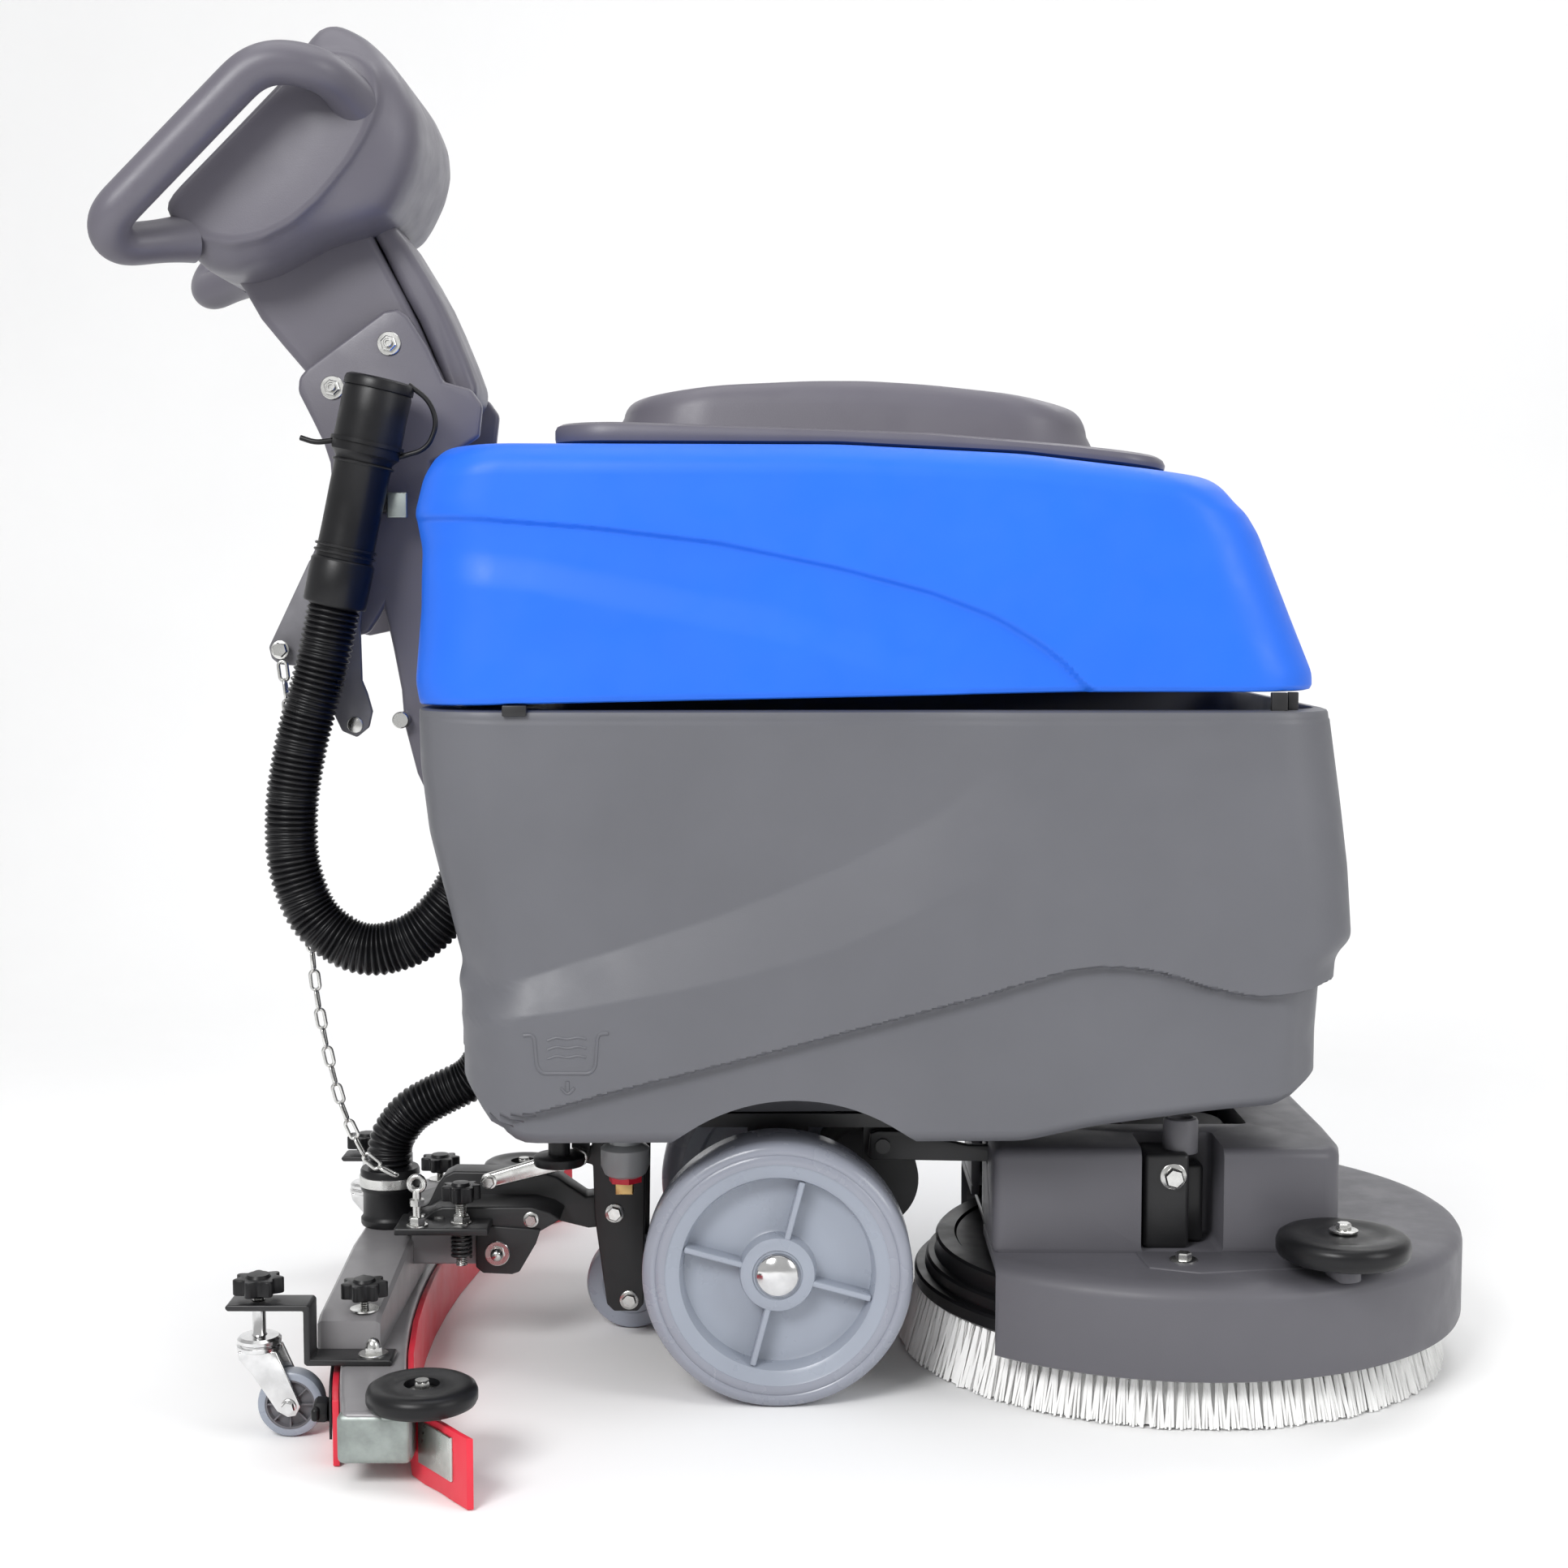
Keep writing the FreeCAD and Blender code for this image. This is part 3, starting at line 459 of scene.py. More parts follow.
BLUE = moulded("blue tank", (0.016, 0.140, 0.74), 0.43, 1100, 0.0001, 0.04, 0.30)
GREY = moulded("grey tank", (0.118, 0.120, 0.134), 0.46, 900, 0.00016, 0.04)
DARK_GREY = moulded("column grey", (0.110, 0.104, 0.127), 0.40, 900, 0.0002, 0.04, 0.5)
DECK_GREY = moulded("deck grey", (0.108, 0.106, 0.120), 0.45, 900, 0.0002, 0.04)
CAST_GREY = moulded("squeegee casting", (0.215, 0.208, 0.216), 0.34, 700, 0.00015, 0.06, 0.6)
WHEEL_GREY = moulded("wheel grey", (0.31, 0.34, 0.40), 0.30, 500, 0.00006, 0.05, 0.5)
TYRE_GREY = moulded("tyre grey", (0.27, 0.285, 0.335), 0.24, 500, 0.00006, 0.06, 0.5)
BLACK = moulded("black plastic", (0.007, 0.007, 0.008), 0.36, 700, 0.0001, 0.12, 0.32)
HOSE = moulded("hose black", (0.005, 0.005, 0.006), 0.32, 500, 0.0001, 0.12, 0.32)
RED = moulded("red blade", (0.72, 0.022, 0.048), 0.35, 500, 0.0001, 0.07, 0.5)
WHITE = moulded("bristle white", (0.93, 0.93, 0.92), 0.45, 2500, 0.0003, 0.04, 0.4)
PALE = moulded("filter bowl", (0.30, 0.31, 0.32), 0.30, 500, 0.0001, 0.1, 0.5)
SATIN = moulded("panel black", (0.022, 0.022, 0.026), 0.35, 900, 0.0001, 0.2)
SCREEN = moulded("panel screen", (0.012, 0.03, 0.045), 0.12, 300, 0.00003, 0.3, 0.6)
GREEN = moulded("green button", (0.02, 0.36, 0.07), 0.25, 500, 0.00006, 0.1, 0.5)
BUTTON_BLUE = moulded("blue button", (0.02, 0.13, 0.55), 0.25, 500, 0.00006, 0.1, 0.5)
ZINC = metal("zinc", (0.72, 0.72, 0.70), 0.22)
CHROME = metal("chrome", (0.80, 0.80, 0.80), 0.12)
ALUMINIUM = metal("blasted aluminium", (0.38, 0.42, 0.40), 0.46, 0.0, 900)
BRUSHED = metal("brushed steel", (0.62, 0.63, 0.60), 0.28, 1.0)
BRASS = metal("brass", (0.62, 0.42, 0.18), 0.30)
POWDER = coated("black steel", (0.011, 0.011, 0.012), 0.32)
MOTOR = coated("motor black", (0.014, 0.014, 0.015), 0.45)
LEVER_GREY = coated("lever grey", (0.12, 0.118, 0.13), 0.35)

# ------------------------------------------------------------- tanks


def corner_ring(x0, x1, half, corner, per_corner=10, per_side=(90, 60)):
    """Points round a rounded rectangle, the same count for every size."""
    centres = [(x1 - corner, corner - half), (x1 - corner, half - corner),
               (x0 + corner, half - corner), (x0 + corner, corner - half)]
    points = []
    for index, (x, y) in enumerate(centres):
        start = (index - 1) * math.pi / 2
        out_x, out_y = corner * math.cos(start), corner * math.sin(start)
        from_x, from_y = centres[index - 1]
        count = per_side[index % 2]
        for i in range(count):
            points.append((from_x + (x - from_x) * i / count + out_x,
                           from_y + (y - from_y) * i / count + out_y))
        for i in range(per_corner):
            a = start + math.pi / 2 * i / per_corner
            points.append((x + corner * math.cos(a), y + corner * math.sin(a)))
    return points


def ring_stack(name, rings, sharp=50.0):
    """A closed skin through rings of the same number of points."""
    bm = bmesh.new()
    made = [[bm.verts.new(p) for p in ring] for ring in rings]
    for low, high in zip(made, made[1:]):
        bridge_rings(bm, low, high)
    bm.faces.new(list(reversed(made[0])))
    bm.faces.new(made[-1])
    return new_object(name, bm, sharp)


LOWER_REAR = [(217, -268), (226, -268), (257, -268), (282, -270), (306, -274), (325, -271),
              (377, -280), (440, -293), (500, -299), (549, -300)]
LOWER_FRONT = [(217, 402), (262, 402), (330, 406), (345, 418), (408, 414), (470, 407), (549, 397)]
LOWER_BASE = [(-268, 262), (-259, 252), (-242, 228), (-222, 217), (163, 219), (218, 231),
              (308, 243), (385, 250), (398, 262)]
GROOVE = [(-260, 229), (-229, 239), (-145, 262), (-54, 285), (36, 309), (126, 333), (171, 347),
          (198, 355), (230, 357), (261, 353), (297, 341), (324, 335), (352, 333), (397, 341),
          (430, 346)]
CREASE_TOP = [(-280, 328), (-252, 335), (-140, 371), (-70, 394), (22, 431), (91, 468), (138, 506)]
CREASE_LOW = [(-280, 312), (-248, 315), (-189, 322), (-99, 338), (-27, 355), (23, 371),
              (92, 403), (161, 445)]
GROOVE_DEPTH, CREASE_DEPTH = 10.0, 12.0
LOWER_COLUMNS = (140, 60)


def lower_inset(x, z):
    """How far the lower tank's skin lies inside its outline at a point of the side."""
    groove = smooth_between(GROOVE, x, 14)
    below = soft_step((groove + 1.0 - z) / 2.4)
    inset = GROOVE_DEPTH * below
    fade = soft_step((x + 285) / 25) * (1 - soft_step((x - 60) / 110))
    top, low = smooth_between(CREASE_TOP, x, 8), smooth_between(CREASE_LOW, x, 8)
    share = min(1.0, max(0.0, (z - low) / max(top - low, 1)))
    ease = 1 - 0.6 * soft_step((z - top) / 160)
    return inset + fade * CREASE_DEPTH * share * ease


def solution_tank():
    """The lower tank: stacked rings outside and inside, then the arches and the bay cut out."""
    rows = [0.0, 0.0, 0.004, 0.015, 0.03]
    rows += [0.03 + 0.95 * i / 190 for i in range(1, 191)]
    rows += [0.99, 0.996, 1.0]
    pull = {0: 60, 1: 14, 2: 8, 3: 3, len(rows) - 2: 1.5, len(rows) - 1: 4.5}
    rings = []
    for index, t in enumerate(rows):
        shrink = pull.get(index, 0.6 if index > len(rows) - 6 else 0.0)
        guess = LOWER_BOTTOM + t * (LOWER_TOP - LOWER_BOTTOM)
        rear = smooth_between(LOWER_REAR, guess, 6)
        front = smooth_between(LOWER_FRONT, guess, 6)
        ring = []
        for x, y in corner_ring(rear, front, TANK_HALF, 60, 10, LOWER_COLUMNS):
            base = smooth_between(LOWER_BASE, x, 10)
            z = base + t * (LOWER_TOP - base)
            inset = lower_inset(x, z) + shrink
            reach_x = min(1.0, max(-1.0, (x - (rear + front) / 2) / ((front - rear) / 2 - 20)))
            nose = max(0.0, (abs(reach_x) - 0.9) / 0.1)
            flat = min(1.0, abs(y) / 205)
            scale_y = (TANK_HALF - inset * soft_step((flat - 0.6) / 0.4)) / TANK_HALF
            lean = inset * nose * (1 if x > 50 else 0.3)
            ring.append((x - math.copysign(lean, reach_x), y * scale_y, z))
        rings.append(ring)
    for z, tuck in ((LOWER_TOP, 0), (546, 1.5), (268, 3)):
        plan_ring = corner_ring(-222 + tuck, 388 - tuck, 204 - tuck, 50, 10, LOWER_COLUMNS)
        rings.append([(x, y, z) for x, y in plan_ring])
    tank = ring_stack("solution_tank_skin", rings, 60)
    cuts = [rod("arch", ARCH_RADIUS, low, high, ARCH_CENTRE, Y_AXIS, 96)
            for low, high in ((-260, -96), (96, 260))]
    cuts.append(block("bay", -360, -232, -135, 135, 150, 600, 10, 4))
    tank = cut_with(tank, cuts)
    return dress(soften(tank, 1.6, 2, 45), "root", "grey_tank", GREY, "solution_tank")


def rests():
    """Pads and the front pin that the upper tank stands on."""
    parts = []
    for side, _ in SIDES:
        parts.append(block("pad", -230, -212, side * 219, side * 224, 545, 553.2, 0.8))
        parts.append(block("pad", 344, 356, side * 212, side * 218, 545, 562.5, 0.8))
        parts.append(block("pad", 358, 366, side * 205, side * 209, 545, 562.5, 0.8))
    return dress(joined("tank_rests", parts), "root", "steel_black", POWDER)


UPPER_REAR = [(552, -299), (569, -302), (625, -297), (669, -296), (697, -301), (723, -294),
              (741, -283)]
UPPER_FRONT = [(552, 384), (563, 384), (569, 383.5), (695, 341), (714, 331), (722, 322), (745, 312)]
UPPER_BASE = [(-302, 552), (207, 563), (386, 563)]
UPPER_TOP = [(-302, 741), (-281, 746), (-244, 748), (22, 747), (159, 740), (269, 727), (318, 722),
             (386, 716)]
BAND_TOP = [(-300, 695), (-253, 694), (-161, 687), (-70, 676), (22, 657), (90, 639), (137, 621),
            (169, 602), (192, 584), (206, 566)]
BAND_LOW = [(-300, 674), (-288, 673), (-207, 665), (-139, 651), (-70, 637), (-1, 623), (50, 605),
            (91, 586), (123, 568)]
BAND_DEPTH = 5.0
UPPER_COLUMNS = (190, 60)


def upper_inset(x, z):
    """The recessed band that sweeps down the side of the upper tank."""
    if x > 208:
        return 0.0
    top = smooth_between(BAND_TOP, x, 8)
    low = smooth_between(BAND_LOW, x, 8) if x < 118 else 540.0
    inside = soft_step((top - z) / 5.0)
    leave = 1 - soft_step((low - z) / 30) if x < 123 else 1.0
    return BAND_DEPTH * inside * leave


def recovery_tank():
    """The upper tank, with its mouth and inside cut out."""
    rows = [0.0, 0.0, 0.006, 0.02]
    rows += [0.02 + 0.86 * i / 130 for i in range(1, 131)]
    arc = [math.radians(90 * i / 8) for i in range(1, 9)]
    rows += [0.88 + 0.12 * math.sin(a) for a in arc] + [1.0]
    rings = []
    for index, t in enumerate(rows):
        pull = {0: 60.0, 1: 6.0, 2: 2.0, 3: 0.5}.get(index, 0.0)
        top_index = index - (len(rows) - 9)
        if top_index >= 0:
            pull = 22 * (1 - math.cos(arc[min(top_index, 7)]))
        if index == len(rows) - 1:
            pull = 60.0
        guess = UPPER_BOTTOM + t * UPPER_RISE
        rear = smooth_between(UPPER_REAR, guess, 5) + max(0.0, pull - 6) * 0.5
        front = smooth_between(UPPER_FRONT, guess, 5) - pull * 0.6
        ring = []
        for x, y in corner_ring(rear, front, TANK_HALF - pull, 60, 10, UPPER_COLUMNS):
            base = between(UPPER_BASE, x)
            crown = smooth_between(UPPER_TOP, x, 14)
            z = base + t * (crown - base)
            inset = upper_inset(x, z)
            flat = soft_step((abs(y) / 200 - 0.6) / 0.4)
            ring.append((x, y * (TANK_HALF - inset * flat) / TANK_HALF, z))
        rings.append(ring)
    tank = ring_stack("recovery_tank_skin", rings, 60)
    mouth = block("mouth", -168, 238, -163, 163, 690, 780, 30, 4)
    inside = block("inside", -282, 318, -214, 214, 574, 702, 30, 4)
    tank = cut_with(tank, [mouth, inside])
    return dress(tank, "root", "blue_tank", BLUE, "recovery_tank")


LID_TOP = [(-196, 765), (-144, 765), (-17, 761), (90, 757), (197, 748), (268, 740), (273, 738)]
LID_UNDER = [(-196, 749.6), (22, 748.8), (159, 741.8), (273, 728.8)]
DOME_TOP = [(-150, 786), (-115, 791), (-68, 796), (1, 799), (44, 799), (92, 796), (157, 789),
            (214, 779)]


def lid_ring(x0, x1, half, corner, height):
    """A rounded rectangle whose height is a function of x."""
    return [(x, y, height(x)) for x, y in corner_ring(x0, x1, half, corner, 10, (40, 30))]


def tank_lid():
    """The lid: a flat rim that follows the tank's top, a dome on it, and the two hinge ears."""
    def on_top(drop):
        return lambda x: smooth_between(LID_TOP, x, 8) - drop

    def on_under(lift):
        return lambda x: between(LID_UNDER, x) + lift

    def to_dome(share):
        def height(x):
            foot, crown = smooth_between(LID_TOP, x, 8), smooth_between(DOME_TOP, x, 14)
            return foot + (crown - foot) * share
        return height

    rings = [lid_ring(-150, 228, 160, 40, on_under(10)), lid_ring(-150, 228, 160, 40, on_under(0)),
             lid_ring(-192, 269, 186, 42, on_under(0)), lid_ring(-195.5, 272.5, 189.5, 45, on_under(1.5)),
             lid_ring(-196, 273, 190, 45, on_under(4)), lid_ring(-196, 273, 190, 45, on_top(5)),
             lid_ring(-194.5, 271.5, 188.5, 44, on_top(1.8)), lid_ring(-191, 268, 185, 42, on_top(0)),
             lid_ring(-158, 232, 164, 66, on_top(0)), lid_ring(-151, 226, 160, 70, to_dome(0.03))]
    for step in range(1, 9):
        angle = math.radians(90 * step / 8)
        inset = 3 + 12 * (1 - math.cos(angle))
        share = 0.25 + 0.75 * math.sin(angle)
        rings.append(lid_ring(-150 + inset, 223 - inset * 1.1, 160 - inset, 68, to_dome(share)))
    rings.append(lid_ring(-110, 180, 120, 50, to_dome(1.0)))
    rings.append(lid_ring(-20, 80, 30, 20, to_dome(1.0)))
    lid = ring_stack("tank_lid_skin", rings, 50)
    hollow = block("hollow", -134, 190, -140, 140, 730, 766, 20, 4)
    lid = cut_with(lid, [hollow])
    dress(lid, "lid", "grey_tank", DARK_GREY, "tank_lid")
    ears = []
    for x, seat in ((-110, 748.6), (130, 742.6)):
        ears.append(block("ear", x + 11, x + 29, 184, HINGE_Y, seat + 1, 760.8, 1.5))
        ears.append(rod("barrel", 4.9, 0, 17.8, (x + 11.1, HINGE_Y, HINGE_Z), X_AXIS))
    dress(joined("lid_ears", ears), "lid", "grey_tank", DARK_GREY)


def lid_hinges():
    parts = []
    for x, seat in ((-110, 747.6), (130, 741.6)):
        parts.append(rod("pin", 2.4, 0, 40, (x, HINGE_Y, HINGE_Z), X_AXIS, 24))
        for end in (x, x + 30):
            parts.append(lathe("eye", [(0, 0), (4, 0), (5, 1), (5, 9), (4, 10), (0, 10)],
                               (end, HINGE_Y, HINGE_Z), X_AXIS, 32))
            parts.append(block("leaf", end, end + 10, HINGE_Y - 4, HINGE_Y + 4, seat, HINGE_Z, 0.8))
    dress(joined("lid_hinge_pins", parts), "root", "steel_bright", ZINC, "lid_hinge")


SIGN_Y = -224.6


def pictogram():
    """A plain raised sign for draining the tank: a tub, three waves and an arrow down."""
    def bar(points, width):
        corners = [Vector((x, SIGN_Y, z)) for x, z in points]
        line = arc_route(corners, 1.5)
        return sweep("bar", line, [width] * len(line), 8)

    parts = [bar([(-216, 305), (-208, 305.5), (-206, 281), (-202, 276), (-166, 276), (-162, 281),
                  (-160, 306), (-152, 306.5)], 1.5)]
    for z in (303, 296, 289):
        parts.append(bar([(-198, z - 2), (-191, z + 0.8), (-183, z - 1.2), (-175, z + 0.8),
                          (-169, z - 0.8)], 1.1))
    parts.append(bar([(-183, 270), (-183, 262)], 1.6))
    parts.append(bar([(-188, 265), (-183, 259), (-178, 265)], 1.3))
    dress(joined("drain_sign", parts), "root", "grey_tank", GREY)


solution_tank()
rests()
recovery_tank()
tank_lid()
lid_hinges()
pictogram()

# ------------------------------------------------------------- operator column and head

HEAD_MIDDLE = [(-503, 938), (-452, 990), (-403, 1039), (-394, 1060), (-387, 1074), (-378, 1081),
               (-366, 1080), (-347, 1070), (-332, 1056), (-318, 1038), (-307, 1014), (-305, 991),
               (-310, 970), (-320, 949), (-330, 934), (-350, 924), (-384, 914), (-425, 892),
               (-450, 885), (-475, 889), (-488, 903), (-497, 921)]
HEAD_SIDE = [(-500, 938), (-452, 986), (-405, 1032), (-392, 1046), (-380, 1053), (-366, 1055),
             (-350, 1052), (-338, 1044), (-333, 1032), (-332, 1016), (-337, 1000), (-344, 986),
             (-354, 970), (-366, 955), (-381, 938), (-400, 922), (-425, 909), (-450, 904),
             (-470, 908), (-484, 916), (-493, 924), (-499, 932)]
HEAD_CENTRE = (-412, 978)


def polar(outline, count):
    """Radii of an outline about the head's centre, at even angles."""
    radii = []
    cx, cz = HEAD_CENTRE
    for i in range(count):
        a = 2 * math.pi * i / count
        ray = Vector((math.cos(a), math.sin(a)))
        best = 0.0
        for (xa, za), (xb, zb) in zip(outline, outline[1:] + outline[:1]):
            p, d = Vector((xa - cx, za - cz)), Vector((xb - xa, zb - za))
            cross = ray.x * d.y - ray.y * d.x
            if abs(cross) < 1e-9:
                continue
            t = (p.x * d.y - p.y * d.x) / cross
            s = (p.x * ray.y - p.y * ray.x) / cross
            if t > 0 and -1e-6 <= s <= 1 + 1e-6:
                best = max(best, t)
        radii.append(best)
    for _ in range(2):
        radii = [(radii[i - 1] + 2 * radii[i] + radii[(i + 1) % count]) / 4 for i in range(count)]
    return radii


def control_head():
    """Rings across the width that change from the middle outline to the side outline."""
    count = 144
    middle, side = polar(HEAD_MIDDLE, count), polar(HEAD_SIDE, count)
    stations = [(0, 0, 1), (50, 0, 1), (72, 0.01, 1), (88, 0.05, 1), (97, 0.14, 1), (104, 0.32, 1),
                (109, 0.55, 1), (113, 0.78, 1), (116, 0.94, 1), (118.5, 1, 0.995),
                (120.5, 1, 0.975), (121.7, 1, 0.94), (122, 1, 0.88), (122, 1, 0.4)]
    signed = [(-y, m, s) for y, m, s in reversed(stations)] + stations[1:]
    rings = []
    for y, morph, scale in signed:
        ring = []
        for i in range(count):
            a = 2 * math.pi * i / count
            r = (middle[i] * (1 - morph) + side[i] * morph) * scale
            ring.append((HEAD_CENTRE[0] + r * math.cos(a), y, HEAD_CENTRE[1] + r * math.sin(a)))
        rings.append(ring)
    head = ring_stack("control_head_skin", rings, 75)
    dress(head, "root", "grey_tank", DARK_GREY, "control_head")


def handle(side, label):
    """A loop of round tube that flares where it meets the head."""
    points = [(-352, side * 112, 1016), (-369, side * 154, 1033), (-414, side * 165, 1037),
              (-530, side * 165, 921), (-534, side * 155.5, 908), (-528, side * 142, 902),
              (-484, side * 106, 913)]
    line = arc_route(points, 2.5)
    for _ in range(12):
        middle = [(line[i - 1] + line[i] * 2 + line[i + 1]) / 4 for i in range(1, len(line) - 1)]
        line = [line[0]] + middle + [line[-1]]
    reach = len(line)
    radii = []
    for i in range(reach):
        near_end = min(i, reach - 1 - i) / 14
        radii.append(16.4 + 3.0 * max(0.0, 1 - near_end) ** 2)
    tube = sweep("handle_" + label + "_tube", line, radii, 48)
    dress(tube, "root", "grey_tank", DARK_GREY, "handle_" + label)


def neck():
    """The two halves of the neck between head and column."""
    back = [(-468, 896), (-457, 881), (-444, 858), (-426, 836), (-409, 816), (-395, 776),
            (-345, 759), (-300, 768), (-294, 806), (-305, 828), (-316, 853), (-327, 875),
            (-345, 909), (-362, 942), (-420, 935)]
    front = [(-365, 948), (-345, 912), (-327, 876), (-316, 856), (-305, 830), (-296, 806),
             (-300, 780), (-275, 785), (-268, 800), (-277, 825), (-288, 852), (-297, 872),
             (-308, 892), (-325, 920), (-345, 945)]
    parts = [prism("neck_back", back, -46, 46, 7, 5), prism("neck_front", front, -42, 42, 9, 5)]
    dress(joined("upper_neck_skin", parts), "root", "grey_tank", DARK_GREY, "upper_neck")


def column():
    """Two side plates on a web, with the lever's pivot and the bolts."""
    plate = [(-330, 864), (-341, 862), (-403, 817), (-410, 809), (-411, 798), (-400, 776),
             (-391, 757), (-386, 741), (-385, 721), (-392, 689), (-406, 658), (-399, 612),
             (-390, 603), (-376, 600), (-357, 604), (-349, 616), (-344, 625), (-337, 591),
             (-331, 558), (-329, 530), (-319, 490), (-296, 440), (-284, 410), (-284, 264),
             (-269, 264), (-269, 400), (-305, 500), (-305, 742),
             (-285, 750), (-266, 762), (-263, 787), (-272, 800), (-294, 806), (-307, 834),
             (-322, 858)]
    web = [(-384, 745), (-395, 664), (-349, 642), (-337, 593), (-330, 540), (-322, 505),
           (-312, 505), (-312, 740), (-330, 752)]
    parts = [prism("web", web, -51, 51, 3)]
    for side, _ in SIDES:
        parts.append(prism("plate", plate, side * 50, side * 62, 3.2, 4))
        parts.append(block("foot", -283, -232, side * 50, side * 62, 262, 300, 2))
    dress(joined("lower_column_skin", parts), "root", "column_plastic", DARK_GREY, "lower_column")
    steel = [rod("pivot", 6, 0, 17, (-372, -79, 622), Y_AXIS),
             lathe("stop", [(0, 0), (6, 0), (6.8, 1), (6.8, 12), (0, 12)], (-330, -74, 534), Y_AXIS, 32)]
    dress(joined("lever_pivot", steel), "root", "steel_bright", ZINC)
    washer = [(0, 0), (9.5, 0), (9.5, 1.2), (9.0, 1.7), (0, 1.7)]
    stud = [(0, 6), (3.6, 6), (3.6, 7.4), (3.0, 8), (2.2, 8), (2.2, 6.4), (0, 6.4)]
    bolts = []
    for side, _ in SIDES:
        for x, z in ((-337, 836), (-383, 801)):
            at, out = (x, side * 62, z), (0, side, 0)
            bolts.append(lathe("washer", washer, at, out, 48))
            bolts.append(hex_head("bolt", (x, side * 63.7, z), out, 11.5, 3.2))
            bolts.append(lathe("stud", stud, at, out, 24))
    dress(joined("column_bolt_set", bolts), "root", "steel_bright", ZINC, "column_bolts")


PANEL_OUT = Vector((-math.sin(PANEL_SLOPE), 0, math.cos(PANEL_SLOPE)))
PANEL_UP = Vector((math.cos(PANEL_SLOPE), 0, math.sin(PANEL_SLOPE)))


def on_panel(x, y, lift):
    """A point of the sloping control face: up it, across it and off it."""
    return PANEL_CENTRE + PANEL_UP * x + Vector((0, y, 0)) + PANEL_OUT * lift


def panel_block(name, x0, x1, y0, y1, low, high, rounding):
    """A rounded block lying on the sloping control face."""
    obj = block(name, x0, x1, y0, y1, low, high, rounding)
    obj.data.transform(Matrix.Translation(PANEL_CENTRE * MM) @ Matrix.Rotation(-PANEL_SLOPE, 4, "Y"))
    return obj


BUTTONS = (("start_button", -42, "button_green", GREEN),
           ("vacuum_button", 0, "button_blue", BUTTON_BLUE))
KEY_Y = 46
BUTTON_ROW = -24


def panel():
    """The control face: plate with three holes, display, lamps, two buttons and the key."""
    plate = panel_block("plate", -58, 58, -100, 100, -3, 4, 2.5)
    holes = [rod("hole", radius, -6, 12, on_panel(BUTTON_ROW, y, 0), PANEL_OUT, 48)
             for y, radius in ((-42, 11.3), (0, 11.3), (KEY_Y, 9.1))]
    dress(cut_with(plate, holes), "root", "panel", SATIN, "control_panel")
    bezel = panel_block("panel_bezel", 4, 44, -60, 60, 3.6, 6.2, 1.2)
    dress(bezel, "root", "panel", SATIN)
    glass = panel_block("panel_display", 9, 39, -55, 20, 5.6, 6.9, 0.5)
    dress(glass, "root", "panel", SCREEN)
    lamps = [panel_block("lamp", 11 + 9 * i, 17 + 9 * i, 30, 52, 5.6, 6.9, 0.5) for i in range(3)]
    dress(joined("panel_lamps", lamps), "root", "panel", PALE)
    cap = [(0, 4), (10, 4), (11, 5), (11, 8.5), (10, 9.8), (7, 9.4), (0, 9.0)]
    for name, y, slot_name, paint in BUTTONS:
        button = lathe(name + "_cap", cap, on_panel(BUTTON_ROW, y, 0), PANEL_OUT, 48)
        dress(button, name, slot_name, paint, name)
    barrel = lathe("barrel", [(0, 0.2), (9, 0.2), (9, 5), (8, 6.2), (0, 6.2)],
                   on_panel(BUTTON_ROW, KEY_Y, 0), PANEL_OUT, 40)
    grip = panel_block("grip", BUTTON_ROW - 9, BUTTON_ROW + 9, KEY_Y - 2, KEY_Y + 2, 6, 24, 1)
    dress(joined("key_switch_set", [barrel, grip]), "key", "key", CHROME, "key_switch")


control_head()
for hand, hand_label in SIDES:
    handle(hand, hand_label)
neck()
column()
panel()

# ------------------------------------------------------------- hoses, cuff, chain and lever

CUFF_LOW, CUFF_HIGH = Vector((-375, HOSE_Y, 627)), Vector((-338, HOSE_Y, 795))
CUFF_ALONG = (CUFF_HIGH - CUFF_LOW).normalized()
CUFF_LENGTH = (CUFF_HIGH - CUFF_LOW).length


